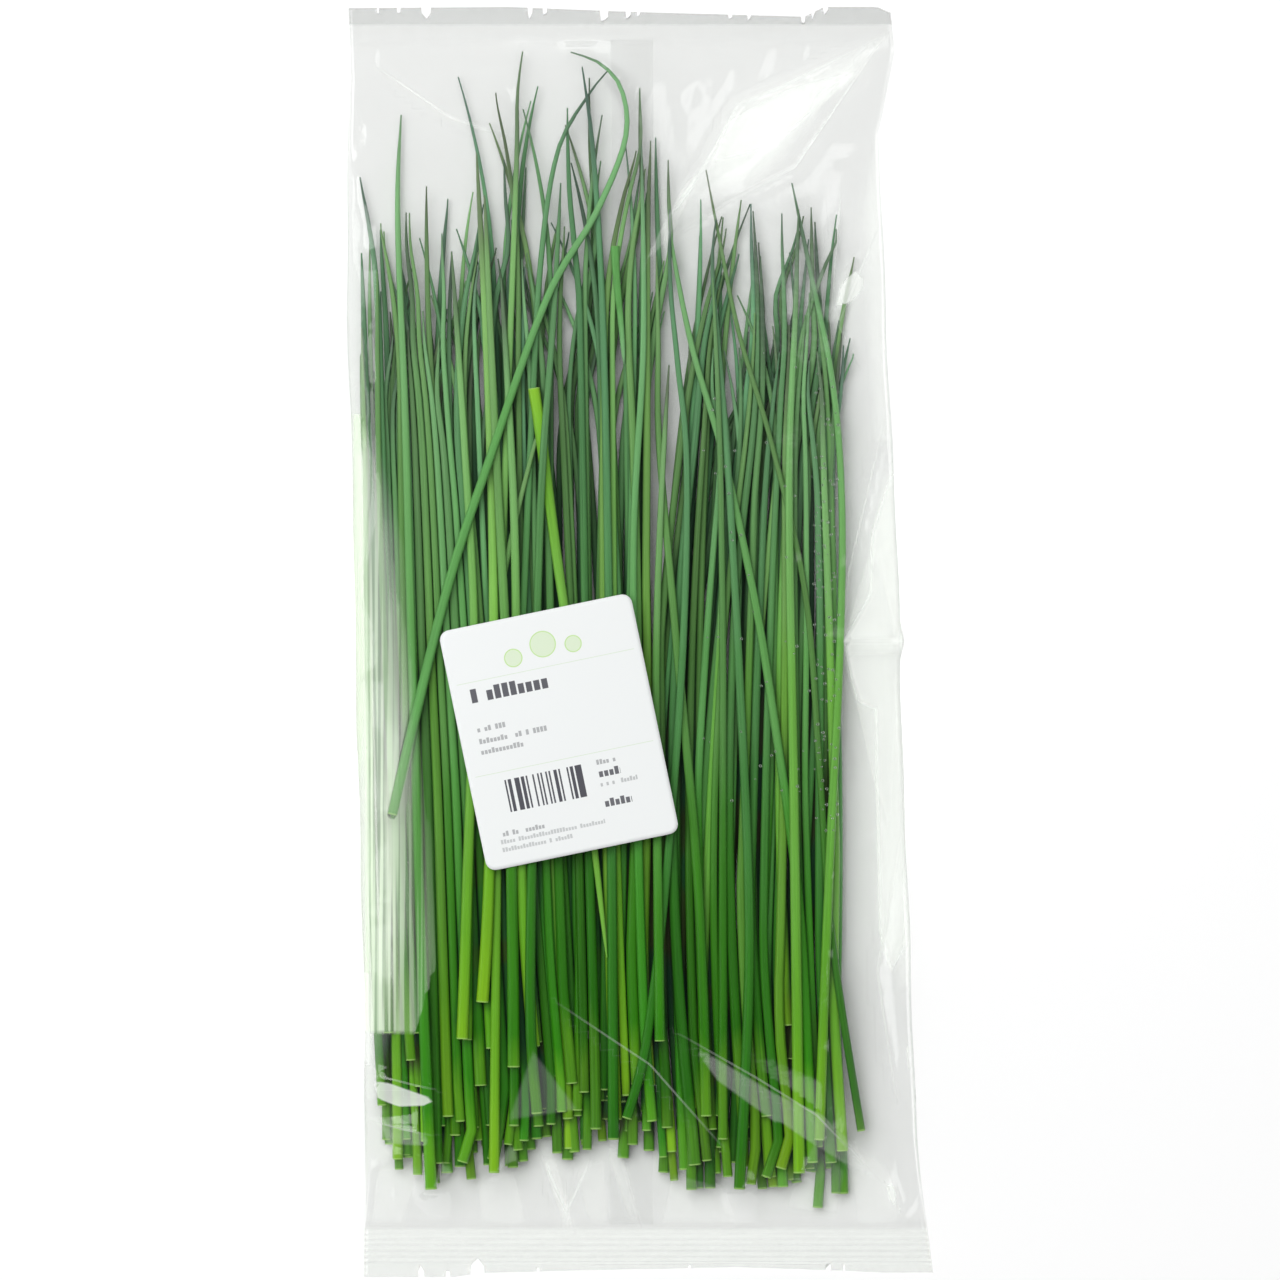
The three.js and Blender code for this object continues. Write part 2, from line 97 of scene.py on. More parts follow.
class Maker:
    # adds nodes to one tree
    def __init__(self, tree):
        self.tree = tree

    # settings are set first; stops are (place, colour) pairs of a ramp; inputs go by name or number
    def add(self, kind, settings=None, inputs=None, output=0):
        node = self.tree.nodes.new(kind)
        for name, value in (settings or {}).items():
            if name == "stops":
                self.fillRamp(node.color_ramp, value)
            else:
                setattr(node, name, value)
        for name, value in (inputs or {}).items():
            if isinstance(value, Socket):
                self.tree.links.new(value.socket, node.inputs[name])
            else:
                node.inputs[name].default_value = value
        return Socket(self, node.outputs[output]) if node.outputs else None

    def fillRamp(self, ramp, stops):
        while len(ramp.elements) < len(stops):
            ramp.elements.new(1.0)
        for element, (place, colour) in zip(ramp.elements, stops):
            element.position = place
            element.color = (*colour, 1.0)

    def output(self, socket, number):
        return Socket(self, socket.socket.node.outputs[number])

    def math(self, operation, *values):
        return self.add("ShaderNodeMath", {"operation": operation}, dict(enumerate(values)))

    def vector(self, x, y, z=0.0):
        return self.add("ShaderNodeCombineXYZ", {}, {"X": x, "Y": y, "Z": z})

    def ramp(self, share, stops):
        return self.add("ShaderNodeValToRGB", {"stops": stops}, {"Fac": share})

    # from 0 to 1 as the value goes from one number to another
    def eased(self, value, low, high):
        settings = {"data_type": "FLOAT", "interpolation_type": "SMOOTHSTEP"}
        return self.add("ShaderNodeMapRange", settings, {"Value": value, "From Min": low, "From Max": high})


class Material(Maker):
    def __init__(self, name):
        self.material = bpy.data.materials.new(name)
        self.material.use_nodes = True
        self.material.node_tree.nodes.clear()
        super().__init__(self.material.node_tree)
        self.place = self.add("ShaderNodeTexCoord", output="Object")

    def attribute(self, name):
        return self.add("ShaderNodeAttribute", {"attribute_name": name}, output="Fac")

    def noise(self, place, scale, detail, roughness=0.5):
        inputs = {"Vector": place, "Scale": scale, "Detail": detail, "Roughness": roughness}
        return self.add("ShaderNodeTexNoise", {}, inputs)

    # its depth is in millimetres
    def bump(self, height, strength, depth):
        inputs = {"Strength": strength, "Distance": depth * mm, "Height": height}
        return self.add("ShaderNodeBump", {}, inputs)

    def mixColour(self, share, first, second, blend="MIX"):
        settings = {"data_type": "RGBA", "blend_type": blend}
        return self.add("ShaderNodeMix", settings, {0: share, 6: first, 7: second}, output=2)

    def surface(self, inputs):
        return self.add("ShaderNodeBsdfPrincipled", {}, inputs)

    def finish(self, surface):
        self.add("ShaderNodeOutputMaterial", {}, {"Surface": surface})
        return self.material


class Geometry(Maker):
    # a geometry tree with named inputs, each (name, kind of socket, value)
    def __init__(self, name, inputs):
        super().__init__(bpy.data.node_groups.new(name, "GeometryNodeTree"))
        face = self.tree.interface
        for label, kind, value in inputs + [("Material", "Material", None)]:
            socket = face.new_socket(name=label, in_out="INPUT", socket_type="NodeSocket" + kind)
            if value is not None:
                socket.default_value = value
        face.new_socket(name="Geometry", in_out="OUTPUT", socket_type="NodeSocketGeometry")
        node = self.tree.nodes.new("NodeGroupInput")
        self.given = {socket.name: Socket(self, socket) for socket in node.outputs if socket.name}

    def attribute(self, name):
        return self.add("GeometryNodeInputNamedAttribute", {"data_type": "FLOAT"}, {"Name": name})

    def store(self, geometry, name, value, domain="POINT", selection=True):
        settings = {"data_type": "FLOAT", "domain": domain}
        inputs = {"Geometry": geometry, "Selection": selection, "Name": name, "Value": value}
        return self.add("GeometryNodeStoreNamedAttribute", settings, inputs)

    def random(self, seed, low=0.0, high=1.0):
        settings = {"data_type": "FLOAT"}
        return self.add("FunctionNodeRandomValue", settings, {2: low, 3: high, "Seed": seed}, output=1)

    def smooth(self, mesh, faces=True):
        return self.add("GeometryNodeSetShadeSmooth", {"domain": "FACE"}, {0: mesh, 1: faces, 2: True})

    def finish(self, geometry):
        whole = self.add("GeometryNodeRealizeInstances", {}, {0: geometry})
        inputs = {"Geometry": whole, "Material": self.given["Material"]}
        self.add("NodeGroupOutput", {}, {"Geometry": self.add("GeometryNodeSetMaterial", {}, inputs)})
        return self.tree


# Runs a geometry tree on an object, and returns the result as a plain mesh object.
def bakedPiece(name, source, tree, values):
    modifier = source.modifiers.new("shape", "NODES")
    modifier.node_group = tree
    identifiers = {item.name: item.identifier for item in tree.interface.items_tree if item.in_out == "INPUT"}
    for label, value in values.items():
        modifier[identifiers[label]] = value
    bpy.context.view_layer.update()
    graph = bpy.context.evaluated_depsgraph_get()
    mesh = bpy.data.meshes.new_from_object(source.evaluated_get(graph), depsgraph=graph)
    source.modifiers.clear()
    bpy.data.objects.remove(source)
    return linked(name, mesh)


def linked(name, data):
    made = bpy.data.objects.new(name, data)
    bpy.context.scene.collection.objects.link(made)
    return made


def meshed(name, points, faces):
    mesh = bpy.data.meshes.new(name)
    mesh.from_pydata(points, [], faces)
    mesh.update()
    return mesh


# The four corners of every cell of a grid of points.
def gridFaces(ids):
    return np.stack([ids[:-1, :-1], ids[:-1, 1:], ids[1:, 1:], ids[1:, :-1]], -1).reshape(-1, 4)


# A closed mesh of two sheets over one grid, joined along their rim.
def twoSheets(name, top, bottom):
    rows, columns = top.shape[:2]
    points = np.concatenate([top.reshape(-1, 3), bottom.reshape(-1, 3)]) * mm
    ids = np.arange(rows * columns).reshape(rows, columns)
    below = ids + rows * columns
    under = gridFaces(below)[:, [0, 3, 2, 1]]
    rim = np.concatenate([ids[0], ids[1:, -1], ids[-1, -2::-1], ids[-2:0:-1, 0]])
    after = np.roll(rim, -1)
    walls = np.stack([rim, rim + rows * columns, after + rows * columns, after], -1)
    return meshed(name, points.tolist(), np.concatenate([gridFaces(ids), under, walls]).tolist())


def store(mesh, name, values):
    mesh.attributes.new(name, "FLOAT", "POINT").data.foreach_set("value", values)


def joined(name, parts):
    with bpy.context.temp_override(active_object=parts[0], selected_editable_objects=parts, object=parts[0]):
        bpy.ops.object.join()
    parts[0].name = name
    return parts[0]


# Attaches a piece to what moves it, and hides the solid that it stands for.
def settle(piece, node):
    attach(piece, "root")
    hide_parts(node)
    print(piece.name, len(piece.data.polygons), "faces")


# How the leaves lie.
bunch = {
    "seed": 7,
    "flatness": 0.85,  # a leaf's height over its width
    "radii": (1.35, 1.9),  # at the cut end
    "taper": 0.5,  # share of the radius lost by the tip, where it also turns pointed
    "pointed": (14, 0.6),  # how late and how sharply
    "placingTip": 0.35,  # least radius that neighbours make room for
    "placingReach": 18,  # past its ends, where they still do
    "leafRoom": 0.2,  # between leaves side by side
    "hankRoom": 1.4,  # between two hanks
    "floor": 1.7,  # underside of the lowest layer
    "layerPitch": 3.3,
    "tipPitch": 0.72,  # share of the pitch left where the leaves are thinner
    "thinFrom": (60, 125),  # heights y between which it falls to that
    "edgeRoom": 3.2,  # between the lowest layer and the sleeve's long edges
    "layerInset": 7,  # each layer starts further in from the sides than the one below
    "layerStep": 4,  # and further up from the cut ends
    "layerCounts": (34, 33, 33),  # from the lowest layer up
    "levels": np.arange(-195, 196, 15.0),  # heights y at which neighbours are kept apart
    "stagger": (0.2, 0.6),  # where a leaf lies in its own share of the hank's width: least, and how much more
    "stray": {"base": 0.2, "mid": 0.04, "tip": 0.3},  # how far it leaves that place, over the hank's width
    "raised": (0.2, 30),  # share of the leaves that start higher up, and by how much at most
    "lowEnds": 1.3,  # above 1, more leaves end low
    "rings": 38,  # along each leaf
    "ringsAtTip": 1.4,  # above 1, they lie closer there
    "tipRadius": 0.22,
    "curlReach": 22,  # between tips that bend furthest to the left and to the right
    "curlFrom": 0.8,  # share of the length at which the bend starts
}

# Each hank: its share of a layer's leaves, x from and to at the cut end, the middle and the tip, and the
# heights y between which leaves are cut and end. The tone's seed deals the greens out among its leaves.
hanks = [
    {"name": "left", "share": 0.3, "toneSeed": 103, "base": (-78, -35), "mid": (-81, -43), "tip": (-84, -49),
     "cut": (-166, -150), "end": (86, 140)},
    {"name": "middle", "share": 0.29, "toneSeed": 33, "base": (-33, 2), "mid": (-42, 4.5), "tip": (-48, 2),
     "cut": (-158, -140), "end": (100, 172)},
    {"name": "right", "share": 0.41, "toneSeed": 136, "base": (7, 60), "mid": (5.5, 61), "tip": (20, 60),
     "cut": (-172, -146), "end": (84, 138)},
]

# Leaves that lie loose on a hank: hank, radius at the cut end, a path from there to the tip, and any taper.
looseLeaves = [
    ("right", 1.25, [(67, -148), (58, -90), (54, -35), (50, 14), (40, 59), (30, 93), (24, 122), (20, 143)]),
    ("right", 1.7, [(52, -157), (48, -80), (40, -20), (34, 16), (25, 57), (16, 88), (10, 118), (9, 131)]),
    ("right", 1.6, [(54, -150), (57, -70), (60.5, 0), (61, 45), (58, 80), (52, 110), (46, 139)]),
    ("middle", 1.5, [(-38, -146), (-37, -40), (-33, 60), (-30, 115), (-25, 148), (-16, 165), (-9.7, 173)]),
    ("middle", 1.6, [(-44, -160), (-43, -60), (-41, 40), (-37.5, 140), (-37.2, 165), (-35.6, 179)]),
    ("middle", 1.7, [(-8, -150), (-9, -20), (-11, 90), (-14, 146), (-17.5, 174)]),
    ("left", 1.4, [(-52, -120), (-50, -40), (-41, 20), (-33, 55), (-27.5, 73)]),
    ("middle", 1.9, [(-32, -122), (-35, -85), (-37, -30), (-38, 40), (-42, 110)]),
    ("left", 1.9, [(-47.5, -108.5), (-45.5, -73), (-44, 0), (-46, 80), (-49.5, 148)]),
    ("right", 1.7, [(20, -143), (17.5, -73), (11, 0), (5.8, 60), (5.5, 90), (5, 117)]),
    ("right", 1.6, [(3.6, -144.5), (1, -108), (-1, -40), (-2, 30), (1, 90), (0.5, 150)]),
    ("right", 1.5, [(-4, -143.5), (2, -120), (8, -70), (13, 0), (14.1, 54), (11.4, 84), (9.2, 108),
                    (9, 131)]),
    ("left", 1.7, [(-67, -118), (-71, -73), (-76, 0), (-78, 60), (-80, 110), (-85, 141)]),
    ("middle", 1.8, [(-32, 76.5), (-30, 63), (-25, 25), (-20, -10), (-14, -60), (-10, -95)]),
    ("left", 1.7, [(-74.5, -52), (-59, 13), (-45, 56), (-28, 104), (-13.4, 129.5), (-4.5, 152), (-5.5, 167),
                   (-12, 175), (-21, 178.5)], 0.55),
]

# Finer filling, which the solids leave out: leaves between the layers, and more loose ones on top.
filling = {
    "seed": 23,
    "betweenCounts": (54, 34),
    "slimness": 0.9,  # of their radius
    "edgeRoom": (5, 9),  # to the sleeve's left and right edge
    "looseLeaves": [
        ("left", 1.8, [(-53.5, -119.5), (-52, -73), (-50, 0), (-53, 60), (-57, 118)]),
        ("left", 1.9, [(-75.8, -118), (-77.8, -60), (-80.2, 20), (-83, 80), (-84.5, 118)]),
        ("left", 1.8, [(-63, -165), (-66, -90), (-69, 0), (-71, 70), (-73.5, 130), (-72.5, 160)]),
        ("middle", 1.9, [(-38, -128), (-38.5, -80), (-40, -10), (-44, 70), (-47, 135)]),
        ("middle", 1.7, [(-31, -142), (-33, -110), (-32, -40), (-30, 40), (-26, 100), (-24, 139)]),
        ("right", 1.8, [(48, -160), (47, -90), (46, -20), (45, 50), (47, 100), (48, 131)]),
        ("right", 1.7, [(30, -165), (33, -90), (30, -10), (26, 60), (22, 110), (23, 128)]),
        ("middle", 1.6, [(6, -120), (5, -40), (5, 0), (6.5, 45), (8.8, 84)]),
        ("left", 1.4, [(-78, -140), (-80.6, -80), (-82, -10), (-83, 50), (-84.3, 95)]),
        ("left", 1.5, [(-69, -126), (-73.5, -60), (-77, 0), (-79, 60), (-79.5, 112)]),
        ("middle", 1.35, [(-7.6, 119.6), (-7, 109), (-5.8, 97), (-4.8, 84)]),
        ("right", 1.5, [(25, -150), (25, -80), (25, 0), (24, 60), (22, 110)]),
    ],
}

sleeve = {
    "halfLength": 193,
    "sealInner": (-178, 184),  # where the hollow ends
    # the long edges, as y and x
    "leftEdge": [(-193, -83.5), (-150, -83.5), (-50, -85), (0, -86.5), (100, -88.75), (193, -88.75)],
    "rightEdge": [(-193, 88.75), (-150, 84.5), (-100, 82), (0, 79), (100, 75), (155, 72), (180, 77.5),
                  (193, 76.5)],
}


# The same repeatable numbers as the solids use.
def makeRandom(seed):
    state = [seed]

    def draw():
        state[0] = (state[0] * 1664525 + 1013904223) % 4294967296
        return state[0] / 4294967296

    return draw


def mix(low, high, share):
    return low + (high - low) * share


# The value at y, or at each of several, between the pairs of a list.
def alongList(pairs, y):
    return np.interp(y, *zip(*pairs))


# Catmull-Rom curve through evenly spaced values; position counts from the first of them.
def smoothAlong(values, position):
    values = np.asarray(values, float)
    last = len(values) - 1
    i = np.clip(np.asarray(position).astype(int), 0, last - 1)
    w = (np.asarray(position) - i).reshape((-1,) + (1,) * (values.ndim - 1))
    before, here = values[np.maximum(i - 1, 0)], values[i]
    after, beyond = values[i + 1], values[np.minimum(i + 2, last)]
    v0, v1 = (after - before) / 2, (beyond - here) / 2
    cubic = (2 * here - 2 * after + v0 + v1) * w**3
    return cubic + (3 * after - 3 * here - 2 * v0 - v1) * w**2 + v0 * w + here


# Radius at a share of the length: nearly even, and pointed only at the end.
def leafRadius(r, share, least, taper=bunch["taper"]):
    late, sharp = bunch["pointed"]
    return np.maximum(least, r * (1 - taper * share) * (1 - np.clip(share, 0, 1) ** late) ** sharp)


def ruledLeaf(hank, across, index, draw):
    leaf = {"hank": hank["name"], "r": mix(*bunch["radii"], draw())}
    for part, stray in bunch["stray"].items():
        leaf[part] = mix(*hank[part], min(1, max(0, across + stray * (draw() - 0.5))))
    leaf["startY"] = mix(*hank["cut"], draw()) + index * bunch["layerStep"]
    share, most = bunch["raised"]
    leaf["startY"] += most * draw() if draw() < share else 0
    leaf["endY"] = mix(*hank["end"], draw() ** bunch["lowEnds"])
    leaf["curl"] = bunch["curlReach"] * (draw() - 0.5)
    return leaf


def shareAt(leaf, y):
    return (y - leaf["startY"]) / (leaf["endY"] - leaf["startY"])


# x at height y: a parabola through base, middle and tip, and the curl of the tip.
def ruledX(leaf, y):
    t = min(1, max(0, shareAt(leaf, y)))
    base, mid, tip = leaf["base"], leaf["mid"], leaf["tip"]
    bow = 2 * (t - 0.5) * (t - 1) * base - 4 * t * (t - 1) * mid + 2 * t * (t - 0.5) * tip
    return bow + leaf["curl"] * max(0, (t - bunch["curlFrom"]) / (1 - bunch["curlFrom"])) ** 2


def halfWidth(leaf, y):
    t = shareAt(leaf, y)
    beyond = bunch["placingReach"] / (leaf["endY"] - leaf["startY"])
    if t < -beyond or t > 1 + beyond:
        return 0
    return float(leafRadius(leaf["r"], min(1, max(0, t)), bunch["placingTip"]))


# Pushes the leaves of a layer apart at height y.
def spread(layer, xs, y, inset):
    low = alongList(sleeve["leftEdge"], y) + bunch["edgeRoom"] + inset
    high = alongList(sleeve["rightEdge"], y) - 2 * bunch["edgeRoom"] - inset
    half = [halfWidth(leaf, y) for leaf in layer]
    room = [0] + [
        half[i - 1] + half[i] + bunch["leafRoom" if layer[i - 1]["hank"] == layer[i]["hank"] else "hankRoom"]
        for i in range(1, len(layer))
    ]
    xs[0] = max(xs[0], low + half[0])
    for i in range(1, len(xs)):
        xs[i] = max(xs[i], xs[i - 1] + room[i])
    xs[-1] = min(xs[-1], high - half[-1])
    for i in range(len(xs) - 1, 0, -1):
        xs[i - 1] = min(xs[i - 1], xs[i] - room[i])
    return xs


def layerFloor(index, y):
    low, high = bunch["thinFrom"]
    t = np.clip((y - low) / (high - low), 0, 1)
    return bunch["floor"] + index * bunch["layerPitch"] * mix(1, bunch["tipPitch"], t * t * (3 - 2 * t))


# Gives a leaf its centreline and radii. xAt gives x for an array of heights y.
def trace(leaf, index, xAt):
    t = 1 - (1 - np.linspace(0, 1, bunch["rings"])) ** bunch["ringsAtTip"]
    y = mix(leaf["startY"], leaf["endY"], t)
    leaf["radii"] = leafRadius(leaf["r"], t, bunch["tipRadius"])
    z = layerFloor(index, y) + bunch["flatness"] * leafRadius(leaf["r"], t, bunch["placingTip"])
    leaf["points"] = np.column_stack([xAt(y), y, z])


# Leaves of all the hanks, each in its own share of the hank's width.
def drawLeaves(count, index, draw, stagger):
    least, more = stagger
    leaves = []
    for hank in hanks:
        n = round(count * hank["share"])
        leaves += [ruledLeaf(hank, (i + least + more * draw()) / n, index, draw) for i in range(n)]
    return leaves


def makeLayer(count, index, draw):
    layer = drawLeaves(count, index, draw, bunch["stagger"])
    levels = bunch["levels"]
    inset = index * bunch["layerInset"]
    rows = [spread(layer, [ruledX(leaf, y) for leaf in layer], y, inset) for y in levels]
    for leaf, track in zip(layer, np.array(rows).T):
        trace(leaf, index, lambda y: smoothAlong(track, (y - levels[0]) / (levels[1] - levels[0])))
    return layer


# Leaves that fill the gaps between two layers.
def makeBetween(count, index, draw):
    leaves = drawLeaves(count, index, draw, (0, 1))
    inset = index * bunch["layerInset"] / 2
    leftRoom, rightRoom = filling["edgeRoom"]

    def held(leaf, y):
        low = alongList(sleeve["leftEdge"], y) + leftRoom + inset
        high = alongList(sleeve["rightEdge"], y) - rightRoom - inset
        return np.clip([ruledX(leaf, one) for one in y], low, high)

    for leaf in leaves:
        leaf["r"] *= filling["slimness"]
        trace(leaf, index, lambda y: held(leaf, y))
    return leaves


# How loose leaves come to rest on the pile.
resting = {
    "cells": (190, 400),  # of the pile, 1 mm each, across and along
    "samplesAcross": 7,  # of a leaf
    "samplesAlong": 360,
    "bendPasses": 400,
    "sag": 0.002,  # at each pass
    "softPasses": 6,
    "press": 0.3,  # how far it may press into what it lies on
    "pathSteps": 600,
    "points": 60,  # along a loose leaf
}


class Pile:
    # how high the leaves are at each 1 mm cell of the sleeve
    def __init__(self):
        self.nx, self.ny = resting["cells"]
        self.heights = np.full((self.ny, self.nx), float(bunch["floor"]))

    # row and column of the cell at each point
    def cells(self, x, y):
        column = np.clip((x + self.nx / 2).astype(int), 0, self.nx - 1)
        return np.clip((y + self.ny / 2).astype(int), 0, self.ny - 1), column

    # for each cell, the heights of the cells within a reach of it
    def around(self, reach):
        padded = np.pad(self.heights, reach, mode="edge")
        steps = range(2 * reach + 1)
        return [padded[a : a + self.ny, b : b + self.nx] for a in steps for b in steps]

    # cells under a leaf's samples, and the leaf's half height there
    def under(self, points, radii):
        across = np.linspace(-1, 1, resting["samplesAcross"])
        cells = self.cells(points[:, :1] + radii[:, None] * across, points[:, 1:2] + 0 * across)
        return cells, bunch["flatness"] * radii[:, None] * np.sqrt(1 - across**2)

    def lay(self, leaf):
        points, radii = samples(leaf)
        cells, half = self.under(points, radii)
        np.maximum.at(self.heights, cells, points[:, 2:3] + half)

    # rests a leaf on the pile like a soft beam: it bridges dips and sags into wide ones
    def rest(self, leaf):
        cells, half = self.under(*samples(leaf))
        need = (self.heights[cells] + half).max(axis=1) + bunch["leafRoom"]
        lie = need.copy()
        for _ in range(resting["bendPasses"]):
            lie = np.maximum(need, nearMean(lie, (-2, -1, 1, 2)) - resting["sag"])
        for _ in range(resting["softPasses"]):
            lie = np.maximum(need - resting["press"], nearMean(lie, (-2, -1, 0, 1, 2)))
        share = np.linspace(0, 1, len(leaf["points"]))
        leaf["points"][:, 2] = np.interp(share, np.linspace(0, 1, len(lie)), lie)


# The mean of the values at some steps from each value.
def nearMean(values, steps):
    padded = np.pad(values, 2, mode="edge")
    return sum(padded[2 + step : 2 + step + len(values)] for step in steps) / len(steps)


# Points about every millimetre along a leaf, and its radius there.
def samples(leaf):
    count = len(leaf["points"])
    at = np.linspace(0, count - 1, resting["samplesAlong"])
    points = np.column_stack([np.interp(at, range(count), leaf["points"][:, k]) for k in range(3)])
    return points, np.interp(at, range(count), leaf["radii"])


def layLoose(pile, hank, r, path, taper=bunch["taper"]):
    fine = smoothAlong(path, np.linspace(0, len(path) - 1, resting["pathSteps"]))
    length = np.concatenate([[0], np.cumsum(np.hypot(*np.diff(fine, axis=0).T))])
    t = np.linspace(0, 1, resting["points"])
    x, y = (np.interp(t * length[-1], length, fine[:, k]) for k in range(2))
    leaf = {"hank": hank, "r": r, "radii": leafRadius(r, t, bunch["tipRadius"], taper)}
    leaf["points"] = np.column_stack([x, y, np.zeros_like(x)])
    pile.rest(leaf)
    pile.lay(leaf)
    return leaf


def makeLeaves():
    draw = makeRandom(bunch["seed"])
    leaves = []
    for index, count in enumerate(bunch["layerCounts"]):
        leaves += makeLayer(count, index, draw)
    drawFilling = makeRandom(filling["seed"])
    for index, count in enumerate(filling["betweenCounts"]):
        leaves += makeBetween(count, index + 0.5, drawFilling)
    pile = Pile()
    for leaf in leaves:
        pile.lay(leaf)
    # the leaf that bends over at its tip lies on top of all the others
    for given in looseLeaves[:-1] + filling["looseLeaves"] + looseLeaves[-1:]:
        leaves.append(layLoose(pile, *given))
    return leaves, pile


# How the leaves' meshes are made.
sweep = {
    "sides": 12,
    "squareness": 0.45,  # how much fuller than round the leaves' section is
    "rimShare": 0.72,  # of the hollow, at the cut end
    "hollowDepth": 1.2,
    "capCorners": 4.5,  # a cap has more, and a side has fewer
}


# Sweeps a flattened round along every spline, caps it, and sinks a hollow into the cut end.
def leafSweepTree():
    make = Geometry("leafSweep", [
        ("Leaves", "Geometry", None),
        ("Sides", "Int", sweep["sides"]),
        ("Flatness", "Float", bunch["flatness"]),
        ("Squareness", "Float", sweep["squareness"]),
        ("Rim share", "Float", sweep["rimShare"]),
        ("Hollow depth", "Float", sweep["hollowDepth"] * mm),
        ("Seed", "Int", 1),
    ])
    given = make.given
    share = make.add("GeometryNodeSplineParameter")
    curves = make.store(given["Leaves"], "leafShare", share)
    curves = make.store(curves, "leafTone", make.random(given["Seed"]), domain="CURVE")
    circle = make.add("GeometryNodeCurvePrimitiveCircle", {}, {"Resolution": given["Sides"], "Radius": 1.0})
    circle = make.store(circle, "leafAround", share)
    across = make.add("ShaderNodeSeparateXYZ", {}, {0: make.add("GeometryNodeInputPosition")})
    up = make.output(across, 1)
    rounder = 1.0 + given["Squareness"] * (1.0 - up * up)
    flat = make.vector(across, up * rounder * given["Flatness"])
    profile = make.add("GeometryNodeSetPosition", {}, {"Geometry": circle, "Position": flat})
    radius = make.add("GeometryNodeInputRadius")
    inputs = {"Curve": curves, "Profile Curve": profile, "Scale": radius, "Fill Caps": True}
    tubes = make.add("GeometryNodeCurveToMesh", {}, inputs)
    isCap = make.add("GeometryNodeInputMeshFaceNeighbors") > sweep["capCorners"]
    tubes = make.smooth(tubes, 1.0 - isCap)
    isCut = isCap * (make.attribute("leafShare") < 0.5)
    inputs = {"Mesh": tubes, "Selection": isCut, "Offset Scale": 0.0}
    rim = make.add("GeometryNodeExtrudeMesh", {"mode": "FACES"}, inputs)
    inputs = {"Geometry": rim, "Selection": make.output(rim, 1), "Scale": given["Rim share"]}
    scaled = make.add("GeometryNodeScaleElements", {"domain": "FACE"}, inputs)
    inputs = {"Mesh": scaled, "Selection": make.output(rim, 1), "Offset Scale": 0.0 - given["Hollow depth"]}
    sunk = make.add("GeometryNodeExtrudeMesh", {"mode": "FACES"}, inputs)
    inside = make.output(sunk, 1) + make.output(sunk, 2)
    return make.finish(make.store(sunk, "leafHollow", 1.0, domain="FACE", selection=inside))


def leafCurves(name, leaves):
    curve = bpy.data.curves.new(name, "CURVE")
    curve.dimensions = "3D"
    curve.twist_mode = "Z_UP"
    for leaf in leaves:
        count = len(leaf["points"])
        spline = curve.splines.new("POLY")
        spline.points.add(count - 1)
        flat = np.column_stack([leaf["points"] * mm, np.ones(count)])
        spline.points.foreach_set("co", flat.ravel())
        spline.points.foreach_set("radius", leaf["radii"] * mm)
    return linked(name, curve)


leafLook = {
    "greens": [(0.0, (0.09, 0.3, 0.01)), (0.05, (0.026, 0.192, 0.003)), (0.25, (0.042, 0.222, 0.015)),
               (0.55, (0.112, 0.305, 0.088)), (0.92, (0.165, 0.35, 0.155)), (1.0, (0.12, 0.18, 0.12))],
    "youngGreens": [(0.0, (0.27, 0.52, 0.01)), (0.2, (0.15, 0.41, 0.017)), (0.5, (0.18, 0.45, 0.07)),
                    (0.9, (0.2, 0.43, 0.15)), (1.0, (0.12, 0.2, 0.11))],
    "ages": (0.16, 0.12),  # how far leaves, and the patches on one leaf, differ along the greens
    "youngFrom": 0.84,
    "youngShare": 0.75,
    # heights y between which a leaf that starts high up skips the lowest greens, and where it then starts
    "brightFrom": (-90, -20),
    "brightLeast": 0.5,
    # heights y between which leaves may take the upper, greyer greens, and how far along they get before
    "greyFrom": (-20, 60),
    "greyMost": 0.4,
    # how closely ribs and patches follow each other around and along a leaf, and from leaf to leaf
    "ribs": (11, 5, 60),
    "patches": (1, 7, 40),
    "lightness": (0.65, 1.35),  # of the dullest and the brightest leaf
    "ribShade": 0.8,
    "warmth": (0.25, -0.3),  # how far red and blue vary between leaves
    "shuffles": (7.31, 13.7),  # these deal the lightness and the warmth out among the leaves
    "depths": (1.2, 5.5),  # under the top of the pile, between which painted shade darkens the leaves
    "deepShade": 0.28,
    "deepShare": 0.55,
    "upperDepth": 0.28,  # how much less the painted shade tells above there
    "paleTips": (0.72, 0.95, 0.6),  # share of the length between which the painted shade tells less, and how much less
    # the painted shade's colour, for leaves lying deep
    "deep": (0.014, 0.075, 0.045, 1.0),
    "witheredBelow": (-40, 20),  # heights y between which the deep leaves look less withered, and show only the painted shade's colour
    "witheredPatches": (0.52, 0.6),  # noise from which they start and are full
    "withered": (0.06, 0.05, 0.025, 1.0),
    "hollow": (0.05, 0.16, 0.02, 1.0),
    "hollowCover": 0.9,
    "rim": (0.4, 0.64, 0.18, 1.0),  # of the cut edge
    "rimCover": 0.6,
    "rimShare": 0.0017,  # of the leaf's length
    "roughness": (0.28, 0.48),  # by patches
}


